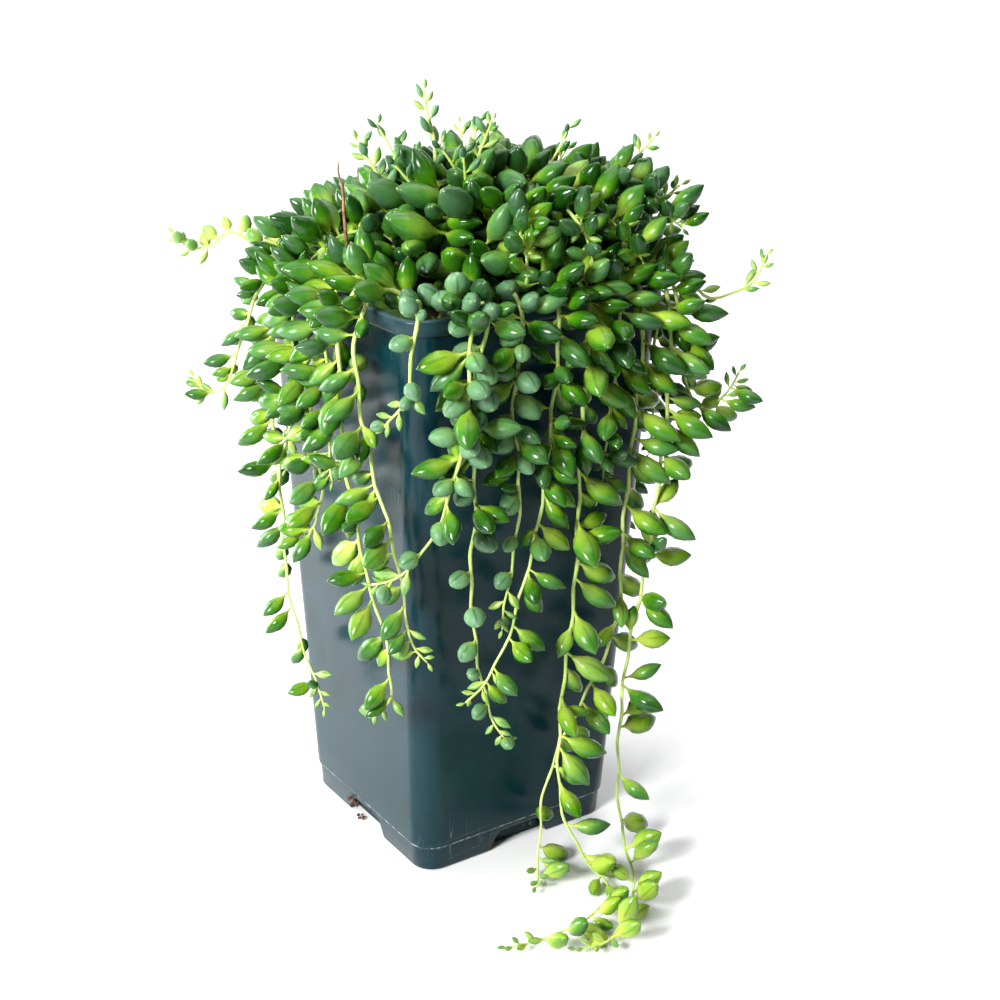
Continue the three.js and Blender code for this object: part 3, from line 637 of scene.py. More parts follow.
def leaf_template(kind):
    """One leaf of unit length along +Z, each point's place across, through and along it, and its faces.

    A ring's point is (r cos a, t r sin a), where t is the thickness of its own side, and the axis
    bends up by the square of the share of the length.
    """
    half, above, below = LEAF_BODY[kind]
    share, radius = np.array(LEAF_RINGS[kind]).T[:, :, None]
    angle = np.arange(LEAF_COLUMNS) * 2 * np.pi / LEAF_COLUMNS
    across, height, along = np.broadcast_arrays(np.cos(angle), np.sin(angle), share)
    thick = np.where(height > 0, above, below)
    rings = np.stack([half * radius * across, half * radius * thick * height, along], axis=-1)
    poles = np.array([[0, 0, -0.02], [0, 0, 1.0]])
    points, faces = capped(rings, poles)
    points[:, 1] += LEAF_BEND * points[:, 2] ** 2
    place = np.vstack([np.stack([across, height, along], axis=-1).reshape(-1, 3), poles])
    return points, place, faces


def lie_lower(leaves):
    """Lets the leaves lie a little lower than the model's: above the rim their rise is scaled down,
    and on the hanging stems they droop."""
    for leaf in leaves:
        height = leaf["root"][2]
        direction = leaf["direction"]
        if height > RISE_FROM and direction[2] > 0:
            direction = direction * [1, 1, LEAF_RISE]
        elif DROOP_BAND[0] < height < DROOP_BAND[1]:
            direction = direction - UP * LEAF_DROOP
        leaf["direction"] = direction / np.linalg.norm(direction)
    return leaves


def leaf_frames(leaves):
    """Each leaf's axes across, through and along it: its upper side is turned to the sky and a
    little outwards from the pot, give or take its roll."""
    ahead = np.array([leaf["direction"] for leaf in leaves])
    roll = 0.25 * np.array([leaf["roll"] for leaf in leaves])[:, None]
    outwards = np.array([leaf["root"] for leaf in leaves]) * [1, 1, 0] / POT_TOP
    sky = UP + outwards + ASKEW
    through = sky - ahead * (sky * ahead).sum(axis=1, keepdims=True)
    through /= np.linalg.norm(through, axis=1, keepdims=True)
    across = np.cross(through, ahead)
    cosine, sine = np.cos(roll), np.sin(roll)
    return cosine * across + sine * through, cosine * through - sine * across, ahead


BLOOM = {"broad": 0.1, "round": 0.8, "fine": 0.5}  # how much grey bloom each kind of leaf has
YOUTH_SPREAD = 0.09  # how much the leaves' light differs
BLOOM_SPREAD = 0.12  # and their bloom


def fine_leaves(leaves, noise):
    """The shape, traits and places of many leaves, each kind's template set out at once.

    A point is root + size (x across + y through + z along), and its traits are its leaf's light, its
    bloom and a number of its own.
    """
    parts = []
    for kind in LEAF_KINDS:
        chosen = [leaf for leaf in leaves if leaf["kind"] == kind]
        if not chosen:
            continue
        template, place, faces = leaf_template(kind)
        across, through, ahead = leaf_frames(chosen)
        size = np.array([leaf["size"] for leaf in chosen])[:, None, None]
        root = np.array([leaf["root"] for leaf in chosen])[:, None]
        local = template[None] * size
        world = root + (local[..., :1] * across[:, None] + local[..., 1:2] * through[:, None]
                        + local[..., 2:] * ahead[:, None])
        light = np.array([leaf["light"] for leaf in chosen])
        youth = np.clip(light + noise.normal(0, YOUTH_SPREAD, len(chosen)), 0, 1)
        waxy = np.array([leaf.get("bloom", BLOOM[kind]) for leaf in chosen])
        bloom = np.clip(waxy + noise.normal(0, BLOOM_SPREAD, len(chosen)), 0, 1)
        own = noise.uniform(0, 1, len(chosen))
        traits = np.repeat(np.column_stack([youth, bloom, own]), len(template), axis=0)
        starts = np.arange(len(chosen))[:, None, None] * len(template)
        blocks = [(block + starts).reshape(-1, block.shape[1]) for block in faces]
        parts.append(((world.reshape(-1, 3), blocks), traits, np.tile(place, (len(chosen), 1))))
    return parts


def tube(line, radii, columns):
    """Rings carried along a line of points, with closed ends.

    Each ring stands across the line's direction, from a side vector that is carried forward and
    kept square to it, so the tube doesn't twist.
    """
    along = np.gradient(line, axis=0)
    along /= np.linalg.norm(along, axis=1)[:, None]
    side = np.zeros_like(line)
    side[0] = np.cross(along[0], UP if abs(along[0][2]) < 0.9 else [1, 0, 0])
    for k in range(1, len(line)):
        side[k] = side[k - 1] - along[k] * (side[k - 1] @ along[k])
    side /= np.linalg.norm(side, axis=1)[:, None]
    other = np.cross(along, side)
    angle = (np.arange(columns) * 2 * np.pi / columns)[None, :, None]
    ring = np.cos(angle) * side[:, None] + np.sin(angle) * other[:, None]
    return capped(line[:, None] + ring * radii[:, None, None], line[[0, -1]])


STEM_RINGS = 2.5  # length of stem between its rings
STEM_COLUMNS = 7
NODE_PITCH = 10.5  # length of stem between its swellings
SWELLING = 0.16  # how much thicker a stem is at one
THINNING = 0.5  # how much thinner it is at its tip


def fine_stem(curve, radius):
    """A round stem that thins towards its tip, with small bends and swellings where leaves grow."""
    share = np.linspace(0, 1, max(12, int(curve.length / STEM_RINGS)))
    swelling = 1 + SWELLING * np.cos(share * curve.length * np.pi / NODE_PITCH) ** 6
    return tube(curve.fine_at(share), radius * (1.0 - THINNING * share ** 2) * swelling, STEM_COLUMNS)


def leafy_piece(name, stems, leaves, materials, noise, inside=None):
    """One piece of stems and leaves. Stems have the first material, leaves the second, and the
    crown's inside the third."""
    bare = [(shape, 0) for shape in stems] + ([(inside, 2)] if inside else [])
    parts = [(shape, slot, *np.zeros((2, len(shape[0]), 3))) for shape, slot in bare]
    parts += [(shape, 1, traits, place) for shape, traits, place in fine_leaves(leaves, noise)]
    shapes, numbers, traits, place = zip(*parts)
    slots = np.repeat(numbers, [sum(len(block) for block in blocks) for _, blocks in shapes])
    return make_piece(name, *joined(shapes), materials, slots, np.vstack(traits), np.vstack(place))


# ---- Shader maths ------------------------------------------------------------------------------------

class Value:
    """A socket whose operators add Math nodes."""

    def __init__(self, shader, socket):
        self.shader = shader
        self.socket = socket

    def _math(self, operation, other, swapped=False):
        pair = (other, self) if swapped else (self, other)
        return self.shader.node("ShaderNodeMath", {"operation": operation}, pair[0], pair[1])

    def __add__(self, other):
        return self._math("ADD", other)

    def __radd__(self, other):
        return self._math("ADD", other, True)

    def __sub__(self, other):
        return self._math("SUBTRACT", other)

    def __rsub__(self, other):
        return self._math("SUBTRACT", other, True)

    def __mul__(self, other):
        return self._math("MULTIPLY", other)

    def __rmul__(self, other):
        return self._math("MULTIPLY", other, True)

    def abs(self):
        return self.shader.node("ShaderNodeMath", {"operation": "ABSOLUTE"}, self)

    def clamp(self):
        return self.shader.node("ShaderNodeClamp", {}, self)

    def ramp(self, low, high):
        """0 below `low`, 1 above `high` and smooth between."""
        return self.shader.node("ShaderNodeMapRange", {"interpolation_type": "SMOOTHSTEP"},
                                self, low, high, 0.0, 1.0)


class Shader:
    """A new material with its Principled BSDF, and one method that adds any other node."""

    def __init__(self, name, **constants):
        self.material = bpy.data.materials.new(name)
        self.material.use_nodes = True
        self.tree = self.material.node_tree
        self.surface = self.tree.nodes["Principled BSDF"]
        for label, value in constants.items():
            self.surface.inputs[label.replace("_", " ")].default_value = value

    def node(self, kind, settings, *sockets, out=0, **named):
        """Adds a node of a type with its settings, then the values or links of its sockets."""
        made = self.tree.nodes.new(kind)
        for label, value in settings.items():
            if label == "stops":
                self._set_stops(made.color_ramp, value)
            else:
                setattr(made, label, value)
        given = list(enumerate(sockets)) + list(named.items())
        for key, value in given:
            self.feed(made.inputs[key], value)
        return Value(self, made.outputs[out])

    def feed(self, socket, value):
        """Links a value to a socket, or sets the socket to a number, a vector or a colour."""
        if isinstance(value, Value):
            self.tree.links.new(value.socket, socket)
        elif value is not None:
            socket.default_value = value

    @staticmethod
    def _set_stops(ramp, stops):
        while len(ramp.elements) < len(stops):
            ramp.elements.new(1.0)
        for element, (place, colour) in zip(ramp.elements, stops):
            element.position = place
            element.color = (*colour, 1.0)

    def place(self):
        """Object coordinates, in metres."""
        return self.node("ShaderNodeTexCoord", {}, out="Object")

    def noise(self, scale, detail=3.0, roughness=0.5, where=None):
        return self.node("ShaderNodeTexNoise", {}, Vector=where or self.place(), Scale=scale,
                         Detail=detail, Roughness=roughness)

    def split(self, vector):
        """The three parts of a vector."""
        return [self.node("ShaderNodeSeparateXYZ", {}, vector, out=k) for k in range(3)]

    def mix(self, share, first, second):
        """A colour `share` of the way from the first to the second. The node's sockets for colours
        come after six for numbers and vectors."""
        colours = [(*c, 1.0) if isinstance(c, tuple) else c for c in (first, second)]
        return self.node("ShaderNodeMix", {"data_type": "RGBA"}, share, *[None] * 5, *colours, out=2)

    def bump(self, height, strength, distance):
        return self.node("ShaderNodeBump", {}, Strength=strength, Distance=distance, Height=height)

    def finish(self, **links):
        """Feeds the surface's own sockets, and gives the material."""
        for label, value in links.items():
            self.feed(self.surface.inputs[label.replace("_", " ")], value)
        return self.material


# ---- Materials ---------------------------------------------------------------------------------------

def leaf_material():
    """Waxy leaf: dark to yellow-green by age, lighter towards its stalk, with painted top light that makes
    its upper side lighter and its underside darker, a dark clear stripe, a pale tip and, on the round
    ones, a grey bloom."""
    shade = Shader("waxy_leaf", IOR=1.4, Specular_IOR_Level=0.42, Subsurface_Weight=0.1,
                   Subsurface_Scale=0.002, Subsurface_Radius=(0.5, 1.0, 0.1))
    traits = shade.node("ShaderNodeAttribute", {"attribute_name": "traits"}, out="Vector")
    youth, bloom, own = shade.split(traits)
    place = shade.node("ShaderNodeAttribute", {"attribute_name": "place"}, out="Vector")
    across, height, along = shade.split(place)
    mottle = shade.noise(700.0, 4.0, 0.6)
    cloud = shade.noise(130.0, 2.0)
    lighter = 0.29 * (1 - along.ramp(0.15, 0.7)) - 0.2 * along.ramp(0.45, 1.0)
    # Painted top light: the upper side of each leaf is made lighter and its underside darker.
    lit = 0.22 * height.ramp(-0.4, 0.8) - 0.12
    age = (youth + lighter + lit + 0.3 * (cloud - 0.5) + 0.1 * (mottle - 0.5)).clamp()
    green = shade.node("ShaderNodeValToRGB", {"stops": [
        (0.0, (0.005, 0.04, 0.002)), (0.3, (0.034, 0.145, 0.003)), (0.6, (0.19, 0.33, 0.018)),
        (1.0, (0.46, 0.55, 0.08))]}, age)
    waxed = shade.mix(bloom * (0.35 + 0.5 * mottle), green, (0.15, 0.3, 0.17))
    length = along.ramp(0.3, 0.5) * (1 - along.ramp(0.88, 0.97))
    stripe = (1 - across.abs().ramp(0.02, 0.2)) * height.ramp(0.1, 0.5) * length
    striped = shade.mix(stripe * (0.35 + 0.3 * bloom), waxed, (0.008, 0.045, 0.008))
    stalk = (1 - along.ramp(0.1, 0.33)) * 0.9
    stalked = shade.mix(stalk, striped, (0.45, 0.58, 0.09))
    tipped = shade.mix(along.ramp(0.97, 1.0) * 0.5, stalked, (0.45, 0.55, 0.2))
    rough = 0.09 + 0.3 * bloom + 0.08 * mottle + 0.14 * own
    return shade.finish(Base_Color=tipped, Roughness=rough, Normal=shade.bump(mottle, 0.06, 0.0004))


def stem_material():
    """Smooth pale green stem, a little redder and paler in patches."""
    shade = Shader("green_stem", Subsurface_Weight=0.15, Subsurface_Scale=0.003)
    patches = shade.noise(60.0, 3.0)
    fine = shade.noise(900.0, 3.0)
    colour = shade.mix(patches.ramp(0.35, 0.7), (0.34, 0.5, 0.1), (0.55, 0.68, 0.22))
    skin = shade.bump(fine, 0.2, 0.0003)
    return shade.finish(Base_Color=colour, Roughness=0.38 + 0.15 * fine, Normal=skin)


def shade_material():
    """Painted shade: a dark green for the crown's inside, which stands in for the shaded depths of the
    crown.
    """
    shade = Shader("crown_inside", Specular_IOR_Level=0.1)
    patches = shade.noise(220.0, 4.0)
    # Both greens are painted shade, patchy with noise.
    colour = shade.mix(patches.ramp(0.4, 0.7), (0.002, 0.008, 0.001), (0.008, 0.026, 0.003))
    return shade.finish(Base_Color=colour, Roughness=0.8 + 0.2 * patches)


def pot_material():
    """Dark blue-green moulded plastic: glossy and dusty, with a band round the mouth that is paler in dusty
    patches, painted top light on the rim's upward face, a thin pale mould line above the foot and a few
    fine scratches."""
    shade = Shader("dark_teal_plastic", IOR=1.42, Specular_IOR_Level=0.25)
    place = shade.place()
    level = shade.split(place)[2] * (1 / MM)
    facing_up = shade.split(shade.node("ShaderNodeNewGeometry", {}, out="Normal"))[2]
    stretched = shade.node("ShaderNodeMapping", {}, Vector=place, Scale=(260.0, 260.0, 9.0))
    streaks = shade.noise(1.0, 4.0, 0.6, stretched)
    dust = shade.noise(45.0, 5.0, 0.65)
    speck = shade.noise(420.0, 3.0, 0.6)
    fine = shade.noise(1600.0, 2.0)
    scratch = scratches(shade, place)
    base = shade.mix(dust.ramp(0.35, 0.75) * 0.5, (0.001, 0.018, 0.024), (0.003, 0.029, 0.037))
    rim = level.ramp(POT_HEIGHT - RIM_BAND - 0.4, POT_HEIGHT - RIM_BAND + 0.2)
    # Painted top light: the rim's upward face is made paler where its normal points up.
    top = rim * facing_up.ramp(0.3, 0.9)
    # The band's paler patches follow the dust, and the upward face adds the painted top light.
    rim_dust_and_top_light = shade.mix((rim * (0.03 + 0.14 * dust) + top * 0.4).clamp(), base, (0.08, 0.125, 0.14))
    line = 1 - (level - FOOT_HEIGHT - 0.7).abs().ramp(0.1, 0.45)
    line = line * speck.ramp(0.42, 0.6) * dust.ramp(0.36, 0.5)
    scuff = (1 - level.ramp(0.0, 14.0)) * speck.ramp(0.6, 0.72) * dust.ramp(0.5, 0.62)
    marks = (scratch * 0.2 + line * 0.75 + scuff * 0.5).clamp()
    worn = shade.mix(marks, rim_dust_and_top_light, (0.34, 0.39, 0.39))
    rough = 0.15 + 0.12 * dust + 0.06 * streaks + 0.2 * scratch + 0.1 * rim
    skin = shade.bump(streaks + 0.25 * fine - 0.6 * scratch, 0.12, 0.0004)
    return shade.finish(Base_Color=worn, Roughness=rough.clamp(), Normal=skin)


# How the noise behind two sets of scratches is turned, and how it is stretched.
SCRATCH_LAYS = [((0.3, 0.9, 0.2), (70.0, 70.0, 6.0)), ((1.1, 0.2, 0.7), (50.0, 8.0, 60.0))]


def scratches(shade, place):
    """A few thin pale lines: the narrow band round the middle level of stretched noise."""
    gate = shade.noise(35.0, 2.0).ramp(0.65, 0.72)
    lines = []
    for turn, stretch in SCRATCH_LAYS:
        laid = shade.node("ShaderNodeMapping", {}, Vector=place, Rotation=turn, Scale=stretch)
        level = shade.noise(1.0, 2.0, 0.4, laid)
        lines.append(1 - (level - 0.5).abs().ramp(0.0, 0.0022))
    return ((lines[0] + lines[1]) * gate).clamp()


def soil_material():
    """Reddish-brown coir whose colour follows its lumps: painted shade darkens the hollows, and the raised
    lumps are lighter.
    """
    shade = Shader("coir_soil")
    lumps = shade.noise(160.0, 6.0, 0.7)
    # Painted shade: the same noise gives the bump, so the low parts are darker.
    colour = shade.mix(lumps.ramp(0.35, 0.7), (0.035, 0.012, 0.008), (0.17, 0.06, 0.035))
    rough = 0.85 + 0.1 * lumps
    return shade.finish(Base_Color=colour, Roughness=rough, Normal=shade.bump(lumps, 0.9, 0.002))


def fibre_material(name, dark, pale):
    """Matt fibres whose colour goes from dark to pale along the grain."""
    shade = Shader(name)
    grain = shade.noise(500.0, 4.0)
    colour = shade.mix(grain.ramp(0.3, 0.7), dark, pale)
    skin = shade.bump(grain, 0.5, 0.0006)
    return shade.finish(Base_Color=colour, Roughness=0.75 + 0.15 * grain, Normal=skin)


# ---- Pot ---------------------------------------------------------------------------------------------

POT_COLUMNS = 24  # points along each rounded corner
SIDE_COLUMNS = 26  # points along each flat side
WALL_ROWS = 14  # rows of points up the wall
LEAST_CORNER = 2.5  # the smallest radius of a corner inside the pot


def square_ring():
    """A rounded square's points: unit directions of the corners' arcs, and the sides between them.

    Each point is a corner centre's sign pair, plus the arc's direction times the corner radius.
    """
    signs, arcs = [], []
    corners = np.array([(1, 1), (-1, 1), (-1, -1), (1, -1)], dtype=float)
    share = np.linspace(0, 1, SIDE_COLUMNS + 2)[1:-1, None]
    for k, corner in enumerate(corners):
        angle = np.linspace(0, np.pi / 2, POT_COLUMNS) + k * np.pi / 2
        signs.append(np.tile(corner, (POT_COLUMNS, 1)))
        arcs.append(np.column_stack([np.cos(angle), np.sin(angle)]))
        signs.append(corner * (1 - share) + corners[(k + 1) % 4] * share)
        arcs.append(np.tile(arcs[-1][-1], (SIDE_COLUMNS, 1)))
    return np.vstack(signs), np.vstack(arcs)


def fine_pot(material):
    """The pot as one profile carried round a rounded square, with the foot's notches cut after.

    The profile's points are heights and how far each lies within the band round the mouth. It goes
    from the foot up the outside, over the rim and down the inside to the floor.
    """
    signs, arcs = square_ring()
    foot = RIM_STEP + FOOT_STEP
    band = POT_HEIGHT - RIM_BAND
    inner = RIM_STEP + POT_WALL
    profile = [
        (0.0, foot + 1.2), (0.25, foot + 0.35), (0.9, foot), (FOOT_HEIGHT - 0.5, foot),
        (FOOT_HEIGHT, foot - 0.1), (FOOT_HEIGHT + 0.5, RIM_STEP + 0.1), (FOOT_HEIGHT + 1.2, RIM_STEP),
        *[(z, RIM_STEP) for z in np.linspace(FOOT_HEIGHT + 12, band - 6, WALL_ROWS)],
        (band - 0.6, RIM_STEP), (band - 0.1, RIM_STEP - 0.2), (band + 0.1, 0.25), (band + 0.6, 0.0),
        (POT_HEIGHT - 0.9, 0.0), (POT_HEIGHT - 0.25, 0.25), (POT_HEIGHT, 0.8), (POT_HEIGHT, inner - 0.6),
        (POT_HEIGHT - 0.3, inner - 0.15), (POT_HEIGHT - 1, inner), (SOIL_TOP - 6, inner),
        (POT_FLOOR + 1, inner),
    ]
    z, inset = np.array(profile).T[:, :, None, None]
    corner = np.maximum(POT_CORNER - inset, LEAST_CORNER)
    flat = signs * (wall_half(z) - inset - corner) + arcs * corner
    rings = np.concatenate([flat, z + 0 * flat[..., :1]], axis=-1)
    pot = make_piece("pot_shell", *capped(rings, [[0, 0, 0], [0, 0, POT_FLOOR + 1]]), [material])
    for quarter in range(4):
        cut_notch(pot, quarter)
    return pot


def cut_notch(pot, quarter):
    """Cuts one sloping-sided notch out of the foot, and takes its cutter away again."""
    low, top, height = NOTCH_WIDTH / 2, NOTCH_TOP / 2, NOTCH_HEIGHT
    outline = np.array([(-low, -1), (low, -1), (low, 0), (top + 0.7, height - 1), (top - 0.8, height),
                        (0.8 - top, height), (-top - 0.7, height - 1), (-low, 0)])
    angle = quarter * np.pi / 2
    ends = [np.column_stack(turned_about_pot((np.full(len(outline), x), *outline.T), angle))
            for x in (POT_BASE / 2 + 4, POT_BASE / 2 - NOTCH_DEPTH)]
    number = np.arange(2 * len(outline)).reshape(2, -1)
    sides = grid_quads(np.hstack([number, number[:, :1]]))[:, ::-1]
    faces = [number[:1], number[1:, ::-1], sides]
    cutter = make_piece("notch_cutter", np.vstack(ends), faces, [], smooth=False)
    cut = pot.modifiers.new("notch", "BOOLEAN")
    cut.operation = "DIFFERENCE"
    cut.solver = "EXACT"
    cut.object = cutter
    settle(pot)
    bpy.data.objects.remove(cutter, do_unlink=True)


def settle(piece):
    """Puts a piece's modifiers into its mesh."""
    evaluated = piece.evaluated_get(bpy.context.evaluated_depsgraph_get())
    mesh = bpy.data.meshes.new_from_object(evaluated)
    piece.modifiers.clear()
    piece.data = mesh


# ---- Soil --------------------------------------------------------------------------------------------

SOIL_POINTS = 70  # along each side of the top
SOIL_WAVES = 28
LUMP_HEIGHT = 0.02  # of a wave, as a share of its length
LUMP_LEVEL = SOIL_TOP - 1.2  # of the waves' middle
LUMP_LIMIT = SOIL_TOP + 0.4  # and where they are cut off
BANK = (16, -33)  # where the coir is banked up against the rim
BANK_RISE = 6.5
BANK_SPREAD = 15  # how far out the bank's slope is steepest


def fine_soil(material, noise):
    """A block of coir whose top is a field of low lumps: a sum of sine waves in several directions,
    cut off just above the soil's level, and a bank that falls off as exp(-d^2 / 2 s^2)."""
    inset = RIM_STEP + POT_WALL + TOUCH_GAP
    half = wall_half(SOIL_TOP) - inset - 0.4
    line = np.linspace(-half, half, SOIL_POINTS)
    x, y = np.meshgrid(line, line, indexing="ij")
    z = np.full_like(x, LUMP_LEVEL)
    for _ in range(SOIL_WAVES):
        turn, wave, phase = noise.uniform(0, 2 * np.pi), noise.uniform(3, 14), noise.uniform(0, 2 * np.pi)
        along = x * np.cos(turn) + y * np.sin(turn)
        z += LUMP_HEIGHT * wave * np.sin(along * 2 * np.pi / wave + phase)
    away = (x - BANK[0]) ** 2 + (y - BANK[1]) ** 2
    z = np.minimum(z, LUMP_LIMIT) + BANK_RISE * np.exp(-away / (2 * BANK_SPREAD ** 2))
    top = np.stack([x, y, z], axis=-1).reshape(-1, 3)
    number = np.arange(len(top)).reshape(x.shape)
    edge = np.concatenate([number[:, 0], number[-1, 1:], number[-2::-1, -1], number[0, -2:0:-1]])
    narrower = (wall_half(POT_FLOOR) - inset - 8) / half
    low = top[edge] * [narrower, narrower, 0] + [0, 0, POT_FLOOR + 3]
    under = len(top) + np.arange(len(edge))
    sides = np.stack([np.roll(edge, -1), edge, under, np.roll(under, -1)], axis=-1)
    faces = [grid_quads(number.T), sides, under[None, ::-1]]
    return make_piece("coir_bed", np.vstack([top, low]), faces, [material])


FIBRES = 420
FIBRE_POINTS = 6
FIBRE_FIELD = 42  # how far from the pot's axis a fibre starts, along x or y
FIBRE_LIMIT = 44.5  # and how far it may reach


def coir_fibres(material, noise):
    """Loose curled fibres on the soil: thin tubes along short arcs, whose heading turns evenly and
    whose height is half a sine wave."""
    share = np.linspace(0, 1, FIBRE_POINTS)
    fibres = []
    for _ in range(FIBRES):
        start = np.array([*noise.uniform(-FIBRE_FIELD, FIBRE_FIELD, 2), SOIL_TOP - 0.4])
        turn, length = noise.uniform(0, 2 * np.pi), noise.uniform(3, 11)
        curl, lift = noise.uniform(-1.6, 1.6), noise.uniform(0, 2.6)
        heading = turn + curl * share
        step = np.column_stack([np.cos(heading), np.sin(heading)]) * length / (FIBRE_POINTS - 1)
        line = np.column_stack([np.cumsum(step, axis=0), lift * np.sin(share * np.pi)]) + start
        line[:, :2] = np.clip(line[:, :2], -FIBRE_LIMIT, FIBRE_LIMIT)
        fibres.append(tube(line, np.full(FIBRE_POINTS, noise.uniform(0.12, 0.28)), 4))
    return make_piece("coir_fibres", *joined(fibres), [material])


CRUMBS = [  # where crumbs of dried coir cling to the foot, and how far they spread
    ((-9.5, -40.6, 5.8), (1.5, 0.3, 0.9)), ((-5.5, -40.8, 6.6), (1.8, 0.3, 0.6)),
    ((-4.5, -38.9, 0.7), (1.8, 1.2, 0.3)),
]
CRUMB_COUNT = 14  # at each place
CRUMB_RISE = np.array([-0.8, -0.3, 0.3, 0.8])  # heights of a crumb's rings, in its own size
CRUMB_RADII = np.array([0.5, 0.95, 0.9, 0.4])


def foot_crumbs(material, noise):
    """Crumbs of dried coir in and beside the notch: short upright tubes whose rings are pushed aside
    a little, so that they are lumpy."""
    crumbs = []
    for middle, spread in CRUMBS:
        for _ in range(CRUMB_COUNT):
            size = noise.uniform(0.2, 0.55)
            place = np.array(middle) + noise.uniform(-1, 1, 3) * spread
            place[2] = max(place[2], size)
            rise = CRUMB_RISE * size * noise.uniform(0.7, 1.1)
            line = place + np.column_stack([noise.normal(0, 0.15, (4, 2)), rise])
            line[:, 2] = np.maximum(line[:, 2], 0.05)
            points, faces = tube(line, size * CRUMB_RADII, 6)
            points[:, 2] = np.maximum(points[:, 2], 0.02)
            crumbs.append((points, faces))
    return make_piece("foot_crumbs", *joined(crumbs), [material])


# ---- Floor and light ---------------------------------------------------------------------------------

FLOOR_FRONT = 1600.0  # from the object to the floor's front edge
FLOOR_SIDE = 2560.0
FLOOR_BACK = 900.0  # to where it starts to bend up behind the object
FLOOR_BEND = 500.0  # the bend's radius
FLOOR_RISE = 1400.0


def make_stage():
    """A seamless pale floor that rises behind the object."""
    shade = Shader("pale_floor", Roughness=0.55)
    shade.surface.inputs["Base Color"].default_value = (0.78, 0.78, 0.785, 1.0)
    turn = np.radians(CAMERA_TURN + 180)
    away = np.array([np.sin(turn), -np.cos(turn), 0])
    across = np.array([np.cos(turn), np.sin(turn), 0])
    bend = np.linspace(0, np.pi / 2, 14)
    wall = FLOOR_BACK + FLOOR_BEND
    run = np.concatenate([[-FLOOR_FRONT], FLOOR_BACK + FLOOR_BEND * np.sin(bend), [wall]])
    height = np.concatenate([[0], FLOOR_BEND * (1 - np.cos(bend)), [FLOOR_RISE]])
    middle = away * run[:, None] + UP * height[:, None]
    points = middle[:, None] + across * np.array([[-FLOOR_SIDE], [FLOOR_SIDE]])
    faces = [grid_quads(np.arange(2 * len(run)).reshape(-1, 2))]
    make_piece("floor", points.reshape(-1, 3), faces, [shade.material])


def area_light(name, place, aim, size, power):
    """A white light of a width and height, at a place, turned to a point."""
    data = bpy.data.lights.new(name, "AREA")
    data.shape = "RECTANGLE"
    data.size, data.size_y = size[0] * MM, size[1] * MM
    data.energy = power
    light = bpy.data.objects.new(name, data)
    facing = (Vector(place) - Vector(aim)).to_track_quat("Z", "Y")
    light.matrix_world = Matrix.Translation(Vector(place) * MM) @ facing.to_matrix().to_4x4()
    bpy.context.scene.collection.objects.link(light)


ROOM_LIGHT = 0.045  # strength of the light from all sides


def make_lights():
    """A small key light to the left of the camera, a soft one from the far left, broad ones over the
    floor and its rise, and a faint light from all sides."""
    area_light("key_front_left", (320, -930, 560), (0, 0, 130), (300, 300), 24.5)
    area_light("soft_left", (-560, -420, 260), (0, -40, 90), (500, 420), 9)
    area_light("soft_top", (0, 0, 1300), (0, 0, 0), (1300, 1300), 16)
    area_light("backdrop_wash", (-450, 310, 900), (-1000, 690, 0), (1800, 500), 12)
    world = bpy.data.worlds.new("bright_room")
    world.use_nodes = True
    background = world.node_tree.nodes["Background"]
    background.inputs["Color"].default_value = (1.0, 1.0, 1.0, 1.0)
    background.inputs["Strength"].default_value = ROOM_LIGHT
    bpy.context.scene.world = world
    bpy.context.scene.view_settings.view_transform = "Standard"


# ---- The whole object --------------------------------------------------------------------------------

INSIDE_COLUMNS = 40
INSIDE_TOP = 1.5  # how far the crown's inside lies within the model's core at its top
INSIDE_SIDE = 3  # at its side
INSIDE_NECK = 2  # and at its neck


def crown_inside():
    """The crown's core as a lumpy dome on a narrower neck: a profile of heights and radii turned
    round, the radius times 1 + 0.04 sin(5 a) cos(0.4 z) + 0.03 sin(11 a)."""
    base, top = SOIL_TOP + 0.5, CORE_MIDDLE + CORE_RISE - INSIDE_TOP
    neck = CORE_NECK - INSIDE_NECK
    rise = np.radians(np.linspace(-30, 84, 12))
    dome = np.column_stack([CORE_MIDDLE + (core_half_height(rise) - INSIDE_TOP) * np.sin(rise),
                            (CORE_RADIUS - INSIDE_SIDE) * np.cos(rise)])
    profile = np.vstack([[(base, neck), (CORE_MIDDLE - CORE_DROP + 4, neck)], dome])
    z, radius = profile.T[:, :, None]
    around = np.arange(INSIDE_COLUMNS) * 2 * np.pi / INSIDE_COLUMNS
    wave = 1 + 0.04 * np.sin(5 * around) * np.cos(z * 0.4) + 0.03 * np.sin(11 * around)
    out = radius * wave
    rings = np.stack([out * np.cos(around), out * np.sin(around), z + 0 * out], axis=-1)
    return capped(rings + CORE_PLACE, CORE_PLACE + [[0, 0, base], [0, 0, top]])


def young_tip(stem, noise):
    """Tiny leaves that crowd the end of a stem, smaller and closer towards its tip."""
    curve = stem["curve"]
    found = []
    for index, (back, size) in enumerate(TIP_LEAVES):
        root = curve.fine_at(1 - back / curve.length)
        along = root - curve.fine_at(1 - (back + 1.5) / curve.length)
        along /= np.linalg.norm(along)
        side = np.cross(along, [0.5, -0.8, 0.3])
        side /= np.linalg.norm(side)
        aim = along * (0.7 if back else 3) + side * (0.8 if index % 2 else -0.8) + noise.normal(0, 0.15, 3)
        aim[2] = max(aim[2], 0.1) if root[2] < TABLE_STRETCH else aim[2]
        found.append(dict(root=root, direction=aim / np.linalg.norm(aim), kind="fine",
                          size=size * noise.uniform(0.85, 1.15), roll=noise.uniform(-3, 3),
                          light=min(stem["light"] + 0.3, 0.8)))
    return found


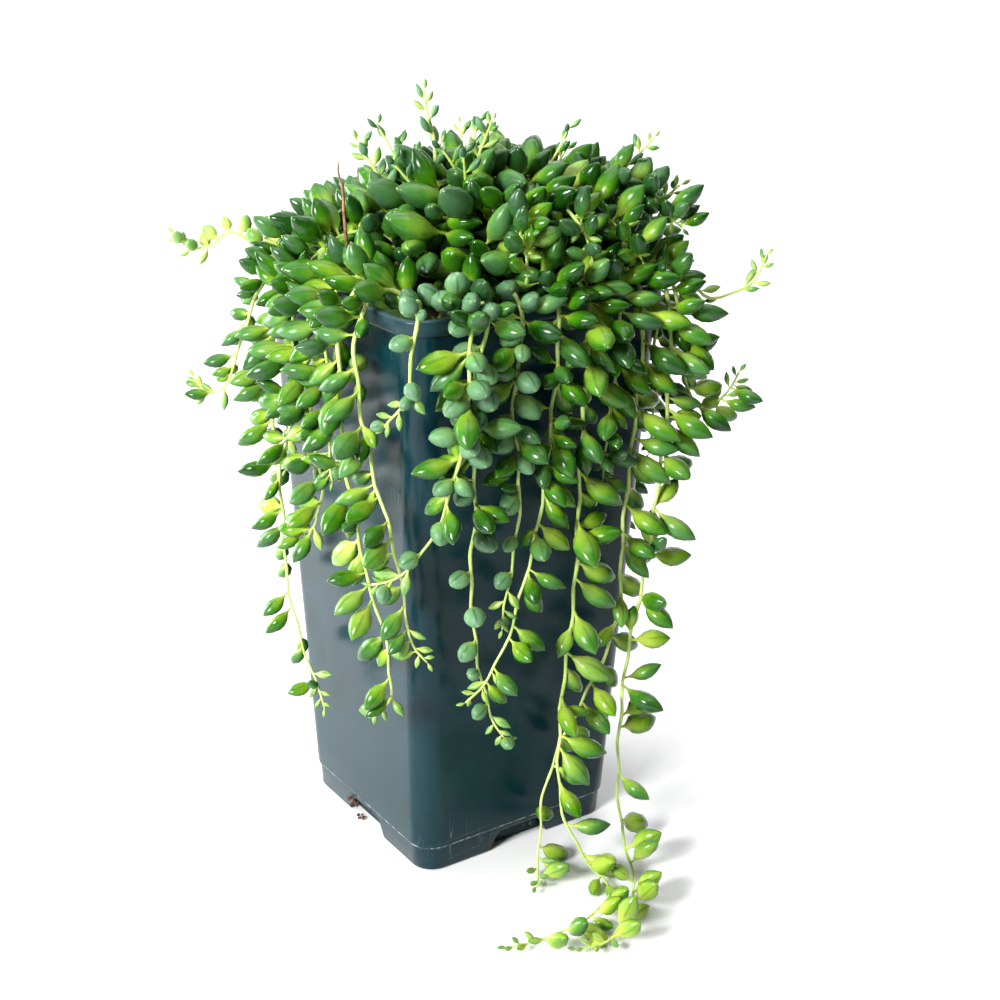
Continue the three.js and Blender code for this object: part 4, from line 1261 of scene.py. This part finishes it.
def young_shoots(noise):
    """Short pale shoots that stand up out of the mound, as lines, each with a few young leaves."""
    shoots = []
    for index in range(YOUNG_SHOOTS):
        around = index * GOLDEN_ANGLE + noise.uniform(0, 0.5)
        out = np.sqrt((index + 0.5) / YOUNG_SHOOTS)
        heading = np.array([np.cos(around), np.sin(around), 0])
        rise = np.sqrt(max(1 - (0.97 * out) ** 2, 0))
        start = CORE_PLACE + heading * (CORE_RADIUS - 3) * out
        start = start + UP * (CORE_MIDDLE + (CORE_RISE - 4) * rise)
        away = heading * (0.35 + 0.6 * out) + UP * 1.1 + noise.normal(0, 0.2, 3)
        away /= np.linalg.norm(away)
        bow = noise.normal(0, 2.0, 3)
        length = noise.uniform(*YOUNG_LENGTH)
        line = [start, start + away * length * 0.5 + bow, start + away * length + 1.6 * bow]
        shoots.append(dict(curve=StemCurve(line), light=noise.uniform(0.15, 0.4)))
    return shoots


def runs_through(shoot, leaves):
    """Whether the upper part of a young shoot runs through one of the leaves, or too near it."""
    line = shoot["curve"].fine_at(np.linspace(0.55, 1, 8))
    for leaf in leaves:
        centres, radii = leaf_balls(leaf["root"], leaf["direction"], leaf["size"], leaf["kind"])
        gaps = np.linalg.norm(line[:, None] - centres, axis=2) - radii
        if gaps.min() < YOUNG_ROOM:
            return True
    return False


def shoot_leaves(shoot, noise):
    """Leaves in a spiral up a young shoot, smaller towards its tip."""
    curve, found = shoot["curve"], []
    along = curve.fine_at(1) - curve.fine_at(0)
    along /= np.linalg.norm(along)
    for index, share in enumerate(YOUNG_LEAVES):
        turn = index * YOUNG_TURN + noise.uniform(0, 1)
        aim = along * 0.9 + np.array([np.cos(turn), np.sin(turn), 0])
        found.append(dict(root=curve.fine_at(share), direction=aim / np.linalg.norm(aim), kind="fine",
                          roll=noise.uniform(-3, 3), size=noise.uniform(8, 11) * (1.1 - 0.55 * share),
                          light=shoot["light"]))
    return found


def grow(draws, noise):
    """The hanging stems and the crown's, each with its leaves, and the leaves of the mound: first the
    model's, in the model's order, and then those that fill the gaps."""
    stems = HANGING + far_stems(draws)
    room = Room()
    for number, stem in enumerate(stems + [DRY_TWIG]):
        stem["curve"] = StemCurve(full_line(stem))
        room.claim_stem(number, stem["curve"])
    crown = [SPRIG | dict(curve=StemCurve(line)) for line in SPRIGS]
    crown += [SHOOT | dict(curve=StemCurve(shoot_line(**shoot))) for shoot in SHOOTS]
    for stem in crown:
        room.claim_stem(CROWN, stem["curve"])
    numbered = [*enumerate(stems), *((CROWN, stem) for stem in crown)]
    for number, stem in numbered:
        stem["leaves"] = leaves_along(room, draws, number, stem)
    mound = crown_leaves(room, draws, CROWN_LEAVES)

    for ahead, margin, bands in FILLING:
        for number, stem in numbered:
            if stem["kind"] in bands:
                band = bands[stem["kind"]]
                stem["leaves"] += leaves_along(room, draws, number, stem, ahead, margin, band)
    for ahead, margin in MIXED_IN:
        for number, stem in numbered:
            if stem.get("name") in MIXED_STEMS:
                mixed = stem | MIXED_LEAVES
                stem["leaves"] += leaves_along(room, draws, number, mixed, ahead, margin, MIXED_BAND)
    for offset, margin in CROWN_FILLING:
        mound += crown_leaves(room, draws, CROWN_FILLERS, margin, offset, FILLERS_LIE)
    for leaf in mound:
        leaf["light"] = CROWN_LIGHT + (LIME_LIGHT if noise.uniform() < LIME_SHARE else 0)
        leaf["size"] *= FULLNESS
    return stems, crown, mound


def make_plant(noise, stems, crown, mound):
    """The hanging stems and the crown, each as one fine piece."""
    young = young_shoots(noise)
    leaf, green, painted_crown_shade = leaf_material(), stem_material(), shade_material()
    for stem in stems:
        leaves = lie_lower(stem["leaves"]) + young_tip(stem, noise)
        line = fine_stem(stem["curve"], FINE_RADIUS)
        piece = leafy_piece(stem["name"] + "_fine", [line], leaves, [green, leaf], noise)
        keep(piece, stem["name"])
    leaves = lie_lower(mound + [one for stem in crown for one in stem["leaves"]])
    young = [shoot for shoot in young if not runs_through(shoot, leaves)]
    leaves += [one for stem in crown for one in young_tip(stem, noise)]
    leaves += [one for shoot in young for one in shoot_leaves(shoot, noise)]
    lines = [fine_stem(stem["curve"], FINE_RADIUS) for stem in crown]
    lines += [fine_stem(shoot["curve"], YOUNG_RADIUS) for shoot in young]
    piece = leafy_piece("crown_fine", lines, leaves, [green, leaf, painted_crown_shade], noise, crown_inside())
    keep(piece, "crown")


TWIG_RADIUS = 0.95
TWIG_POINTS = 40


def fine_twig(material):
    """The dead twig: a tube along the model's line, with slight sine waves, that thins to its tip."""
    share = np.linspace(0, 1, TWIG_POINTS)
    wobble = np.column_stack([np.sin(share * 31), np.cos(share * 23), 0 * share]) * 0.35
    line = DRY_TWIG["curve"].at_share(share) + wobble
    return make_piece("dry_twig_fine", *tube(line, TWIG_RADIUS * (1.1 - 0.8 * share), 7), [material])


def build():
    """Every fine piece, each with the node that it stands for, and the loose coir."""
    noise = np.random.default_rng(SEED)
    make_plant(noise, *grow(Draws(SEED), noise))
    wood = fibre_material("dry_wood", (0.12, 0.045, 0.02), (0.32, 0.16, 0.08))
    keep(fine_twig(wood), "dry_twig")
    keep(fine_pot(pot_material()), "pot")
    keep(fine_soil(soil_material(), noise), "soil")
    fibres = coir_fibres(fibre_material("coir_fibre", (0.09, 0.03, 0.015), (0.3, 0.13, 0.06)), noise)
    crumbs = foot_crumbs(fibre_material("dry_coir", (0.03, 0.01, 0.006), (0.16, 0.06, 0.025)), noise)
    for extra in (fibres, crumbs):
        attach(extra, "root")


def keep(piece, node):
    """The piece takes the place of a node of the model, whose part is hidden, and is attached to the root.
    """
    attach(piece, "root")
    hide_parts(node)


make_camera()
build()
make_stage()
make_lights()
